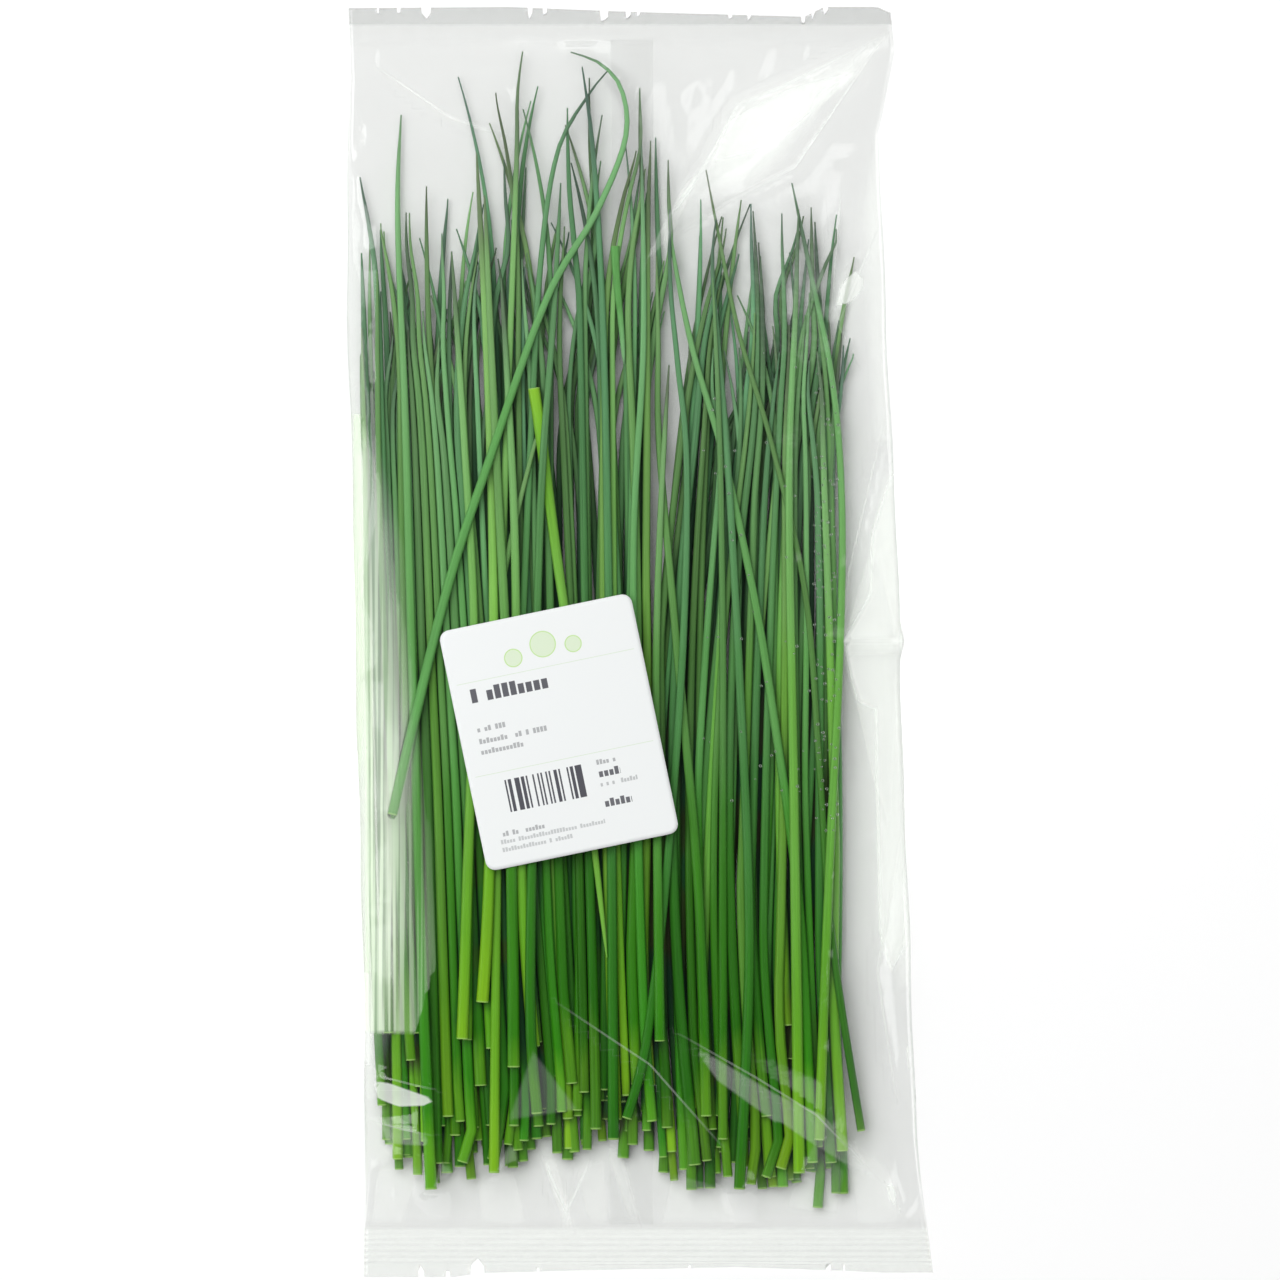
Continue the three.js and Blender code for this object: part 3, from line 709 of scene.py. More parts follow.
def leafMaterial():
    look = leafLook
    make = Material("chiveLeaf")
    names = ("leafShare", "leafTone", "leafAround", "leafHollow", "leafDepth")
    share, tone, around, hollow, depth = map(make.attribute, names)

    def onLeaf(pattern):
        return make.vector(*(value * look[pattern][k] for k, value in enumerate((around, share, tone))))

    ribs = make.noise(onLeaf("ribs"), scale=1.6, detail=3.0, roughness=0.6)
    patches = make.noise(onLeaf("patches"), scale=1.0, detail=2.0)
    # the greens along the leaf
    height = make.add("ShaderNodeSeparateXYZ", {}, {0: make.place}, output=1) / mm
    grey = make.eased(height, *look["greyFrom"])
    ownAge, patchAge = look["ages"]
    age = share + (tone - 0.5) * ownAge + (patches - 0.5) * patchAge
    age = age.math("MINIMUM", look["greyMost"] + grey)
    bright = age.math("MAXIMUM", make.eased(height, *look["brightFrom"]) * look["brightLeast"])
    isYoung = (tone > look["youngFrom"]) * look["youngShare"]
    colour = make.mixColour(isYoung, make.ramp(bright, look["greens"]), make.ramp(age, look["youngGreens"]))
    # painted shade: darker the deeper it lies, but less so towards the tips and higher up
    start, full, less = look["paleTips"]
    deep = make.eased(depth, *look["depths"]) * (1.0 - make.eased(share, start, full) * less)
    deep = deep * (1.0 - grey * look["upperDepth"])
    own, warm = ((tone * shuffle).math("FRACT") for shuffle in look["shuffles"])
    lightness = mix(*look["lightness"], own) + (ribs - 0.5) * look["ribShade"]
    lightness = lightness * (1.0 - deep * (1 - look["deepShade"]))
    red, blue = (lightness * (1.0 + (warm - 0.5) * more) for more in look["warmth"])
    colour = make.mixColour(1.0, colour, make.vector(red, lightness, blue), "MULTIPLY")
    # deep leaves take the painted shade's dark colour, brown in patches lower down as withered leaf
    withered = make.eased(make.noise(make.place, scale=45.0, detail=1.0), *look["witheredPatches"])
    withered = withered * (1.0 - make.eased(height, *look["witheredBelow"]))
    dark = make.mixColour(withered, look["deep"], look["withered"])
    colour = make.mixColour(deep * look["deepShare"], colour, dark)
    # the cut end
    colour = make.mixColour((share < look["rimShare"]) * look["rimCover"], colour, look["rim"])
    colour = make.mixColour(hollow * look["hollowCover"], colour, look["hollow"])
    bump = make.bump(ribs, strength=0.35, depth=0.15)
    roughness = mix(*look["roughness"], patches)
    inputs = {"Base Color": colour, "Roughness": roughness, "Normal": bump, "Specular IOR Level": 0.45}
    return make.finish(make.surface(inputs))


# How deep under the top of the pile each corner of a mesh lies, which sets the leaves' painted shade.
def storeDepth(mesh, pile):
    spots = np.empty(len(mesh.vertices) * 3)
    mesh.vertices.foreach_get("co", spots)
    x, y, z = spots.reshape(-1, 3).T / mm
    top = np.mean(pile.around(2), axis=0)
    store(mesh, "leafDepth", top[pile.cells(x, y)] - z)


def makeHanks(leaves, pile):
    tree = leafSweepTree()
    material = leafMaterial()
    for hank in hanks:
        name = hank["name"]
        source = leafCurves(f"splines_{name}", [leaf for leaf in leaves if leaf["hank"] == name])
        piece = bakedPiece(f"leaves_{name}", source, tree, {"Material": material, "Seed": hank["toneSeed"]})
        storeDepth(piece.data, pile)
        settle(piece, f"chives_{name}")


# How the film's meshes are made.
film = {
    "columns": 90,
    "rowStep": 1.8,
    "sealStep": 0.45,
    "seam": 0.5,  # height of the long edges
    "underside": 0.08,
    "sheetGap": 0.12,  # between the sheets in a seal
    "sealBase": 0.35,
    "ridgePitch": 1.75,
    "ridgeHeight": 0.1,
    "clearance": 0.3,  # over the leaves
    "puff": 0.0022,  # how far the trapped air swells it, at each pass
    "passes": 1400,
    "pinch": {"y": 0.3, "reach": 1.3, "width": 4},  # at the right edge
    # waves of the long edges: reach, length and start
    "edgeWaves": {"leftEdge": [(0.3, 23, 0), (0.2, 9, 1)], "rightEdge": [(0.3, 19, 0), (0.2, 8, 0)]},
    "edgeFades": (3, 4),  # how near the edges the folds and the underside run out
    "sealFade": 3,  # how near the seals the sheets part and the folds run out
    # how cloudy the crimped seals are: most in a narrow strip along the upper end
    "crimp": [(-193, 0.16), (-184, 0.2), (-178, 0.1), (184, 0.1), (187.4, 0.15), (188, 0.8), (193, 0.8)],
    "crimpStart": 0.15,  # how cloudy they are at once
    "ribbed": {"y": -184, "reach": 5.3, "least": 0.2, "more": 1.6},  # where the ridges show as stripes of painted shade in the crimp's cloudiness
    # the upper (1) and the lower (-1) end: its uneven line, and its torn notches as x, width and depth
    "ends": {
        1: {
            "line": [(-89, 192.6), (-40, 193), (0, 191.4), (44, 190.2), (50, 190), (56, 193), (72, 193),
                     (76.5, 191)],
            "notches": [
                (-79.6, 0.6, 2), (-73.3, 1.0, 2.6), (-65, 2.8, 3.4), (-33.4, 1.3, 3.6), (-28.9, 1.2, 3.4),
                (-10.9, 2.4, 4), (-3.6, 1.4, 3.8), (-0.5, 0.8, 1.5), (27.4, 1.1, 2.2), (33.1, 0.9, 2.4),
                (49.6, 1.2, 2.6), (52.6, 0.9, 2.2), (56.4, 1.4, 2.6),
            ],
        },
        -1: {
            "line": [(-84, -193), (-56, -193), (-50, -191.8), (-20, -191), (10, -190.4), (30, -190),
                     (60, -191), (74, -191.6), (89, -191.6)],
            "notches": [
                (-66.5, 1.8, 3.6), (-58.4, 1.3, 3.2), (-49.4, 4.2, 4.6), (-31, 0.9, 2), (15, 0.8, 1.6),
                (57.2, 1.6, 3.6), (62, 0.8, 2),
            ],
        },
    },
    "endReach": 5,  # how far from an end its line and notches tell
    "notchTaper": 0.6,
    "notchLine": 0.06,  # half the width of a notch's sides
    "notchLeft": 0.03,  # of the film's length inside a notch
}

# The fin seal along the back.
fin = {
    "right": 4,
    "width": 13,
    "bottom": 0.02,
    "top": 0.42,
    "half": 0.08,  # of its thickness
    "lift": 0.6,  # of the underside over it, and the width in which it falls away
    "liftFade": 3,
    "endGap": 1,  # between its ends and the seals
    "grid": (10, 150),
    "ripple": (0.08, 2.6),  # height and length
    "wander": (0.4, 31),
}

# Folds of the top sheet: height, the widths of the flanks to the left and right of the path, and the path.
folds = [
    (2.6, 13, 2.5, [(74, 184), (42.6, 168.4), (29.8, 163.2), (19.5, 144.1), (7.3, 126.2), (0.9, 112.5)]),
    (1.4, 4, 7, [(74, 184), (47.1, 144.1), (27.1, 133.8), (11.2, 122.8)]),
    (1.6, 5, 5, [(62, 0.3), (80, 0.3)]),
    (1.9, 9, 3, [(12.2, -118), (35, -131), (53.2, -142.3), (73, -163.6)]),
    (0.9, 2.2, 1.5, [(-24.3, -108.8), (3, -127), (24.3, -151.4)]),
    (2.4, 2.5, 6, [(-82, -130.1), (-61.7, -134.7)]),
    (1.8, 2.5, 4, [(-82, -145), (-63, -148.5)]),
    (1.3, 3, 6, [(-30.4, -154.4), (-19.8, -178.8)]),
    (1.2, 5, 2, [(-15, -157), (-24, -177)]),
    (1.2, 3, 4, [(-6, -154), (0, -177)]),
    (1.1, 8, 4, [(-79, 174), (-57.8, 159.3), (-40, 153)]),
    (1.2, 5, 4, [(61, 137), (58, 100)]),
    (1.3, 4, 4, [(72, 125), (60, 96), (66, 84)]),
    (1.0, 3, 3, [(74, 66), (63, 20), (62, 2)]),
    (1.1, 3, 4, [(79, -60), (72, -100), (78, -140)]),
]

# Painted reflections and highlights on the sheet, and a lighter lower seal: how soft the outlines are, how
# much painted reflection there is inside, and convex outlines.
# The one that shows the leaves' stripes also ends at an outline of its own softness.
paintedReflections = {
    "filmVeilSoft": {"soft": 7, "share": 0.22, "outlines": [
        [(78, 186), (29, 165), (10, 133), (30, 136), (48, 144), (54, 158)],
        [(78, 187), (44, 169.5), (44, 156), (66, 170)],
        [(88, -100), (81, 60), (71.5, 50), (74, -20), (77, -110)],
        [(72, 160), (66, 130), (70, 60), (78, 60), (76, 150)],
        [(-79, 62), (-89, 62), (-89, -140), (-79, -140), (-68, -84), (-66, -30), (-71, 30)],
    ]},
    "filmVeilLeft": {"soft": 19, "share": 0.5, "outlines": [
        [(-77, 90), (-110, 90), (-110, -180), (-58, -180), (-59, -78), (-63, -20), (-71, 30)],
    ], "within": (0.8, [(-82, 70), (-95, 70), (-95, -118.5), (-67.8, -118.5), (-61, -97), (-61, -78),
                        (-65.6, -20), (-73, 30), (-79, 53)])},
    "filmVeilSharp": {"soft": 0.8, "share": 0.14, "outlines": [
        [(77, 185.5), (59.4, 176), (44.2, 167.8), (29.6, 163.6), (20, 145), (40, 150), (66, 172)],
        [(13.2, -118.2), (37.2, -133.4), (48.9, -140.4), (40.7, -145), (23.1, -132.2)],
        [(37.2, -134), (54.7, -141.6), (66.4, -153.2), (71.1, -163.8), (60, -156.7), (46, -147.5),
         (36, -140)],
        [(-80, -143.9), (-73, -142.7), (-63, -149.7), (-64.2, -152), (-76.5, -152)],
        [(-30.4, -154.4), (-25, -158), (-19.8, -178), (-24, -176)],
        [(-11, -152), (-6, -154), (0, -177), (-4, -174)],
        [(60.6, -1), (78.5, -1), (71, 32)],
        [(62, -3), (78.5, -3), (76, -60), (70, -40)],
        [(20, 146), (12, 137), (1, 114), (9, 121)],
        # the lower seal, lighter all over
        [(-95, -178), (95, -178), (95, -200), (-95, -200)],
    ]},
    "filmVeilFaint": {"soft": 1.0, "share": 0.07, "outlines": [
        [(-32.3, -122.2), (-40.2, -144.4), (-18, -141)],
        [(52, -150), (62, -160), (60, -174), (44, -172)],
        [(-80, -160), (-66, -158), (-72, -177), (-82, -177)],
        [(-50, -163), (-38, -160), (-34, -177), (-48, -177)],
        [(-20, -160), (-11, -156), (-9, -177), (-16, -176)],
        [(10, -160), (26, -165), (30, -177), (6, -177)],
        [(62, -150), (76, -160), (80, -177), (66, -177)],
    ]},
    "filmVeilEdge": {"soft": 1.4, "share": 0.5, "outlines": [
        [(76, 52), (69.8, 33), (69.4, 11), (80, 11), (78, 52)],
        [(69.6, 15), (60.6, -0.4), (80.2, -0.4), (79.6, 15)],
        [(61, 0.6), (80.2, 0.6), (80.6, -21), (70.6, -20.6), (66, -18.6), (63.4, -11.5)],
        [(71, -17), (80.4, -17), (80.8, -60), (80.9, -92), (76, -102), (72.2, -88), (71.4, -46)],
    ]},
    "filmVeilBright": {"soft": 0.5, "share": 0.6, "outlines": [
        [(80.5, -121), (82.6, -124), (84.3, -140), (83, -141), (81.5, -130)],
        [(-80.6, -132.2), (-75.3, -132.8), (-63, -136.9), (-61.5, -138), (-64.8, -139.8), (-73, -140.4),
         (-79.4, -138)],
        [(59.5, 102.5), (60.6, 108), (65.2, 113), (68.2, 109.8), (67, 106), (62.9, 101.8)],
        [(70.5, 178), (75.4, 184.6), (72.5, 182.4)],
        [(-84, -99), (-81.6, -99), (-81.2, -128), (-84, -128)],
        [(73.5, -163), (76, -170), (80, -175), (77, -165)],
    ]},
}

# The painted reflection is weaker where the sheet sticks to one leaf: the leaf's path, how wide, and the
# share of it left.
clearing = {
    "path": [(-74.5, -52), (-67.5, -19), (-59, 13), (-52.5, 36), (-45, 56)],
    "reach": (1.25, 1.8),
    "left": 0.4,
}

# How a fold runs out at both ends, and which creases take pale lines (painted highlight, and the whitening of
# creased film): their reach to each side, and how full they are.
creasing = {"ends": 0.03, "fullness": 0.6, "reach": 4, "least": 0.2}
farAway = 9.0  # stands for any greater distance, in the fields that the material reads

# Small crumples near the seals and the long edges.
crumples = {
    "seed": 41,
    "height": (0.25, 0.8),
    "width": (1.2, 4),
    "bend": (-0.4, 0.4),  # in radians, halfway along
    # how many, where they start, which way they run in degrees, and how long they are
    "groups": [
        (30, (-78, 82), (-178, -170), (60, 120), (8, 30)),
        (22, (-84, 70), (172, 184), (-125, -55), (8, 30)),
        (14, (66, 76), (-170, 170), (150, 210), (5, 13)),
        (12, (-86, -82), (-170, 160), (-30, 30), (5, 14)),
    ],
}


def crumpleFolds():
    draw = makeRandom(crumples["seed"])
    made = []
    for count, xs, ys, turns, lengths in crumples["groups"]:
        for _ in range(count):
            x, y = mix(*xs, draw()), mix(*ys, draw())
            turn, length = math.radians(mix(*turns, draw())), mix(*lengths, draw())
            bend = mix(*crumples["bend"], draw())
            path = [(x, y)]
            for _ in range(2):
                x += length / 2 * math.cos(turn)
                y += length / 2 * math.sin(turn)
                path.append((x, y))
                turn += bend
            left, right = mix(*crumples["width"], draw()), mix(*crumples["width"], draw())
            made.append((mix(*crumples["height"], draw()), left, right, path))
    return made


# Each point's distance from a path, positive to the left, and how full a fold along the path is there.
def besidePath(x, y, path):
    best = np.full(x.shape, 1e9)
    side = np.zeros(x.shape)
    along = np.zeros(x.shape)
    total = sum(math.dist(a, b) for a, b in zip(path, path[1:]))
    gone = 0
    for (ax, ay), (bx, by) in zip(path, path[1:]):
        dx, dy = bx - ax, by - ay
        length = math.hypot(dx, dy)
        t = np.clip(((x - ax) * dx + (y - ay) * dy) / length**2, 0, 1)
        ox, oy = x - ax - t * dx, y - ay - t * dy
        away = np.hypot(ox, oy)
        nearer = away < best
        best = np.where(nearer, away, best)
        side = np.where(nearer, dx * oy - dy * ox, side)
        along = np.where(nearer, gone + t * length, along)
        gone += length
    ends = creasing["ends"]
    full = np.sin(np.pi * np.clip(along / total, ends, 1 - ends)) ** creasing["fullness"]
    return np.where(side > 0, best, -best), full


# Height of a fold: it rises to its line and falls on each flank, and runs out at both ends.
def foldHeight(x, y, fold):
    height, leftWidth, rightWidth, path = fold
    offset, full = besidePath(x, y, path)
    return height * full * np.clip(1 - np.abs(offset) / np.where(offset > 0, leftWidth, rightWidth), 0, 1)


# The creases along the folds' lines, which take pale lines of painted highlight and whitening: distance from
# the nearest, and how strong it is.
def creaseLines(x, y, every):
    nearest = np.full(x.shape, farAway)
    strength = np.zeros(x.shape)
    for fold in every:
        offset, full = besidePath(x, y, fold[-1])
        nearer = (np.abs(offset) < np.abs(nearest)) & (np.abs(offset) < creasing["reach"])
        nearest = np.where(nearer, offset, nearest)
        strength = np.where(nearer, full * (full > creasing["least"]), strength)
    return nearest, strength


# How far inside a convex outline each point lies, in steps of the given softness.
def insideOutline(x, y, outline, soft):
    ahead = outline[1:] + outline[:1]
    turn = sum(ax * by - bx * ay for (ax, ay), (bx, by) in zip(outline, ahead))
    inside = np.full(x.shape, farAway)
    for (ax, ay), (bx, by) in zip(outline, ahead):
        dx, dy = bx - ax, by - ay
        away = (dx * (y - ay) - dy * (x - ax)) / math.hypot(dx, dy) * math.copysign(1, turn)
        inside = np.minimum(inside, away / soft)
    return np.maximum(inside, -farAway)


def filmRows():
    half = sleeve["halfLength"]
    low, high = sleeve["sealInner"]
    spans = ((-half, low, film["sealStep"]), (low, high, film["rowStep"]), (high, half, film["sealStep"]))
    lower, inner, upper = (np.linspace(a, b, round((b - a) / step) + 1) for a, b, step in spans)
    return np.concatenate([lower, inner[1:-1], upper])


# x of the two long edges at heights y, a little wavy, with a pinch at the right.
def filmEdges(y):
    edges = []
    for side, waves in film["edgeWaves"].items():
        x = alongList(sleeve[side], y)
        for reach, length, start in waves:
            x = x + reach * np.sin(y / length + start)
        edges.append(x)
    pinch = film["pinch"]
    return edges[0], edges[1] + pinch["reach"] * np.exp(-(((y - pinch["y"]) / pinch["width"]) ** 2))


# Shares across the width, from 0 at the left edge to 1 at the right, with lines of their own at each notch.
def filmShares():
    shares = list(np.linspace(0, 1, film["columns"] + 1))
    half = film["notchLine"]
    for end, shape in film["ends"].items():
        left, right = (float(edge) for edge in filmEdges(end * sleeve["halfLength"]))
        for x, width, _ in shape["notches"]:
            for at in (x - width / 2, x + width / 2):
                shares += [(at + step - left) / (right - left) for step in (-half, half)]
    return np.array(sorted(shares))


def ridges(y):
    return 0.5 + 0.5 * np.sin(2 * math.pi * y / film["ridgePitch"])


# Height of both sheets in the end seals, and how much of it holds at each y.
def sealSurface(y):
    low, high = sleeve["sealInner"]
    share = np.clip(np.maximum(low - y, y - high) / film["sealFade"] + 1, 0, 1)
    return film["sealBase"] + film["ridgeHeight"] * ridges(y), share


class TopSheet:
    # the film over the leaves, as heights on an even grid that follows the long edges
    def __init__(self, pile):
        self.rows = filmRows()
        self.shares = np.linspace(0, 1, film["columns"] + 1)
        self.left, self.right = (edge[:, None] for edge in filmEdges(self.rows))
        self.x, self.y = self.spread(self.shares)
        self.heights = self.relaxed(self.leafTops(pile) + film["clearance"])

    # x and y on every row, at shares of its width
    def spread(self, shares):
        return self.left + (self.right - self.left) * shares, self.rows[:, None] + 0 * shares

    def leafTops(self, pile):
        tops = np.max(pile.around(1), axis=0)[pile.cells(self.x, self.y)]
        return np.where(tops > bunch["floor"] + 0.01, tops, 0)

    # a taut membrane with a little air under it, held at its edges and lying on the leaves
    def relaxed(self, floor):
        heights = floor.copy()
        low, high = sleeve["sealInner"]
        seal = sealSurface(self.rows)[0]
        held = (self.rows <= low) | (self.rows >= high)
        for _ in range(film["passes"]):
            around = heights.copy()
            beside = heights[:-2, 1:-1] + heights[2:, 1:-1] + heights[1:-1, :-2] + heights[1:-1, 2:]
            around[1:-1, 1:-1] = beside / 4 + film["puff"]
            heights = np.maximum(floor, around)
            heights[held] = seal[held, None]
            heights[:, 0] = heights[:, -1] = np.where(held, seal, film["seam"])
        return heights

    def fold(self, every):
        low, high = sleeve["sealInner"]
        fromEdge = np.minimum(self.x - self.left, self.right - self.x)
        fromSeal = np.minimum(self.y - low, high - self.y)
        free = np.clip(fromEdge / film["edgeFades"][0], 0, 1) * np.clip(fromSeal / film["sealFade"], 0, 1)
        for one in every:
            self.heights += free * foldHeight(self.x, self.y, one)

    # height at any points, between the grid's lines
    def at(self, x, y):
        last = len(self.rows) - 1
        row = np.clip(np.interp(y, self.rows, np.arange(last + 1)), 0, last - 0.001)
        left, right = filmEdges(y)
        column = np.clip((x - left) / (right - left), 0, 0.9999) * film["columns"]
        j, i = row.astype(int), column.astype(int)
        lower, upper = (mix(self.heights[k, i], self.heights[k, i + 1], column - i) for k in (j, j + 1))
        return mix(lower, upper, row - j)


# Height of the underside at places x: flat, and lifted over the fin.
def undersideHeight(x):
    away = np.abs(x - (fin["right"] - fin["width"] / 2)) - fin["width"] / 2
    return film["underside"] + fin["lift"] * np.clip(1 - away / fin["liftFade"], 0, 1)


# Shapes both ends of the sleeve: their uneven lines and torn notches.
def tornEnds(x, y):
    top, reach = sleeve["halfLength"], film["endReach"]
    for end, shape in film["ends"].items():
        out = end * y
        ending = alongList(shape["line"], x) * end
        torn = out + (ending - top) * np.clip((out - top + reach) / reach, 0, 1)
        for at, width, depth in shape["notches"]:
            bottom = float(alongList(shape["line"], at)) * end - depth
            # narrower towards its bottom
            bottom = bottom + depth * film["notchTaper"] * (np.abs(x - at) / width * 2) ** 3
            inside = (np.abs(x - at) < width / 2) & (torn > bottom)
            torn = np.where(inside, bottom + film["notchLeft"] * (torn - bottom), torn)
        y = end * torn
    return y


# What the film's material reads at each point: where the creases are and how strong, how far inside each
# patch of painted reflection it lies, and how far from the leaf where that is weaker.
def filmFields(x, y):
    offset, strength = creaseLines(x, y, folds)
    fields = {"filmCrease": offset, "filmCreased": strength}
    for name, paintedReflection in paintedReflections.items():
        every = [insideOutline(x, y, outline, paintedReflection["soft"]) for outline in paintedReflection["outlines"]]
        fields[name] = np.max(every, axis=0)
        if "within" in paintedReflection:
            soft, outline = paintedReflection["within"]
            fields[name] = np.minimum(fields[name], insideOutline(x, y, outline, soft))
    fields["filmClearing"] = np.abs(besidePath(x, y, clearing["path"])[0])
    return fields


def makeFilm(sheet):
    shares = filmShares()
    x, y = sheet.spread(shares)
    heights = np.array([np.interp(shares, sheet.shares, row) for row in sheet.heights])
    seal, share = sealSurface(y)
    edge = np.clip(np.minimum(x - sheet.left, sheet.right - x) / film["edgeFades"][1], 0, 1)
    lower = mix(film["seam"] - film["sheetGap"], undersideHeight(x), edge)
    lower = mix(lower, seal - film["sheetGap"], share)
    yTorn = tornEnds(x, y)
    top = np.maximum(heights, lower + film["sheetGap"])
    mesh = twoSheets("filmSheets", np.stack([x, yTorn, top], -1), np.stack([x, yTorn, lower], -1))
    # painted shade of the lower seal's ridges: its cloudiness comes and goes with them, in stripes
    ribbed = film["ribbed"]
    isRibbed = np.abs(yTorn - ribbed["y"]) < ribbed["reach"]
    stripes = np.where(isRibbed, ribbed["least"] + ribbed["more"] * ridges(y), 1)
    cloudy = np.clip(share + film["crimpStart"] * (share > 0), 0, 1)
    fields = filmFields(x, y)
    fields["filmCrimped"] = cloudy * alongList(film["crimp"], yTorn) * stripes
    for name, values in fields.items():
        store(mesh, name, np.tile(values.ravel(), 2))
    body = linked("film_sheets", mesh)
    body.data.materials.append(filmMaterial("clearFilm", filmLook))
    strip = linked("film_fin", finMesh())
    strip.data.materials.append(filmMaterial("weldedFilm", finLook))
    piece = joined("film", [body, strip])
    piece.data.shade_smooth()
    piece.visible_shadow = False
    settle(piece, "film_sleeve")


# The fin seal: the sheets' two long edges, welded together and folded flat under the sleeve.
def finMesh():
    low, high = sleeve["sealInner"]
    columns, rows = fin["grid"]
    xs = np.linspace(fin["right"] - fin["width"], fin["right"], columns)
    x, y = np.meshgrid(xs, np.linspace(low + fin["endGap"], high - fin["endGap"], rows))
    height, length = fin["ripple"]
    middle = (fin["bottom"] + fin["top"]) / 2 + height * np.sin(2 * math.pi * x / length)
    reach, length = fin["wander"]
    wander = reach * np.sin(y / length) * np.clip((fin["right"] - x) / fin["width"], 0, 1)
    top, bottom = (np.stack([x - wander, y, middle + half], -1) for half in (fin["half"], -fin["half"]))
    return twoSheets("finSheets", top, bottom)


filmLook = {
    "clear": (0.922, 0.927, 0.921, 1.0),
    "ior": 1.5,
    "gloss": 2.0,  # both faces of a sheet reflect
    "glossLimit": 0.22,
    "roughness": 0.05,
    "cloud": (0.5, 0.51, 0.5, 1.0),  # of crimped film, and how much of it hides what is behind
    "cloudShare": 0.45,
    "cloudRoughness": (0.4, 0.5),
    "paintedReflection": (0.91, 0.935, 0.9, 1.0),  # painted reflection
    "pressed": (0.8, 0.95, 0.7, 1.0),  # of the painted reflection where the film is pressed on the leaves, in stripes along them
    "pressedStripes": (620.0, 9.0, 0.0),
    "stripeEdges": (0.42, 0.56),  # noise from which a stripe starts and is full
    "stripeShares": (0.35, 1.3),  # of the painted reflection, between the stripes and in them
    # pale lines along the creases: painted highlight, and the whitening of creased film
    "creaseWidth": 0.32,
    "creaseShare": 0.14,
    "hazeAndReflection": (0.75, 1.25),  # least and most of the painted reflection and the creases' pale lines, from place to place
    "veiled": True,
}


# The welded fin, whose inner faces don't shine.
finLook = {
    "clear": (0.992, 0.994, 0.992, 1.0),
    "ior": 1.5,
    "gloss": 0.25,
    "glossLimit": 0.2,
    "roughness": 0.1,
    "veiled": False,
}


# The crinkles and the haze of the film, which the drops share: the scale of each, how deep (in millimetres)
# and how strong the crinkles are, and how much the haze takes from the gloss or adds to it. The haze's noise
# also varies the painted reflection.
uneven = {"crinkle": 130.0, "depth": 0.5, "strength": 0.25, "hazeAndReflection": 22.0, "gloss": (-0.01, 0.01)}


# Clear where it is clean; painted reflections in the listed patches and pale lines along the creases (painted
# highlight, and the whitening of creased film); greyer where it is crimped.
def filmMaterial(name, look):
    make = Material(name)
    crinkle = make.noise(make.place, scale=uneven["crinkle"], detail=3.0, roughness=0.55)
    bump = make.bump(crinkle, uneven["strength"], uneven["depth"])
    hazeAndReflection = make.noise(make.place, scale=uneven["hazeAndReflection"], detail=4.0)
    facing = make.add("ShaderNodeFresnel", {}, {"IOR": look["ior"], "Normal": bump})
    factor = (facing * look["gloss"] + mix(*uneven["gloss"], hazeAndReflection)).math("MINIMUM", look["glossLimit"])
    clear = make.add("ShaderNodeBsdfTransparent", {}, {"Color": look["clear"]})
    inputs = {"Base Color": (1, 1, 1, 1), "Metallic": 1.0, "Roughness": look["roughness"], "Normal": bump}
    film = make.add("ShaderNodeMixShader", {}, {0: factor, 1: clear, 2: make.surface(inputs)})
    if not look["veiled"]:
        return make.finish(film)
    between, within = look["stripeShares"]
    inputs = {0: make.place, 1: look["pressedStripes"]}
    stripe = make.add("ShaderNodeVectorMath", {"operation": "MULTIPLY"}, inputs)
    stripe = make.eased(make.noise(stripe, scale=1.0, detail=1.0), *look["stripeEdges"])
    # painted reflection of each patch; the left one comes in stripes along the leaves it is pressed on
    reflectionAndWhitening = 0.0
    for paintedReflection, given in paintedReflections.items():
        amount = make.add("ShaderNodeClamp", {}, {0: make.attribute(paintedReflection)}) * given["share"]
        if "within" in given:
            amount = pressed = amount * mix(between, within, stripe)
        reflectionAndWhitening = reflectionAndWhitening + amount
    stuck = mix(clearing["left"], 1, make.eased(make.attribute("filmClearing"), *clearing["reach"]))
    reflectionAndWhitening, pressed = reflectionAndWhitening * stuck, pressed * stuck
    # pale lines along the creases: painted highlight, and the whitening of creased film
    crease = (abs(make.attribute("filmCrease")) < look["creaseWidth"]) * make.attribute("filmCreased")
    reflectionAndWhitening = (reflectionAndWhitening + crease * look["creaseShare"]) * mix(*look["hazeAndReflection"], hazeAndReflection)
    crimped = make.attribute("filmCrimped") * look["cloudShare"]
    # the painted reflection's colour, greener where the film is pressed on the leaves
    paintedReflection = make.mixColour(pressed / (reflectionAndWhitening + 0.001), look["paintedReflection"], look["pressed"])
    colour = make.mixColour(reflectionAndWhitening / (reflectionAndWhitening + crimped + 0.001), look["cloud"], paintedReflection)
    cloudy = make.surface({"Base Color": colour, "Roughness": mix(*look["cloudRoughness"], hazeAndReflection)})
    return make.finish(make.add("ShaderNodeMixShader", {}, {0: reflectionAndWhitening + crimped, 1: film, 2: cloudy}))


# Condensed water on the inside of the film, at the right.
droplets = {
    # x from and to, y from and to, and drops on each square millimetre
    "patches": [((52, 62), (-57, 80), 0.12), ((18, 60), (-50, 90), 0.012)],
    "step": 2.0,
    "radius": (0.22, 0.55),
    "flatness": 0.6,
    "lift": 0.05,
    "seed": 12,
}

dropLook = {
    "clear": (0.9, 0.93, 0.9, 1.0),
    "ior": 1.33,
    "gloss": 11.0,
    "glossLimit": 0.85,
    "roughness": 0.08,
    "veiled": False,
}


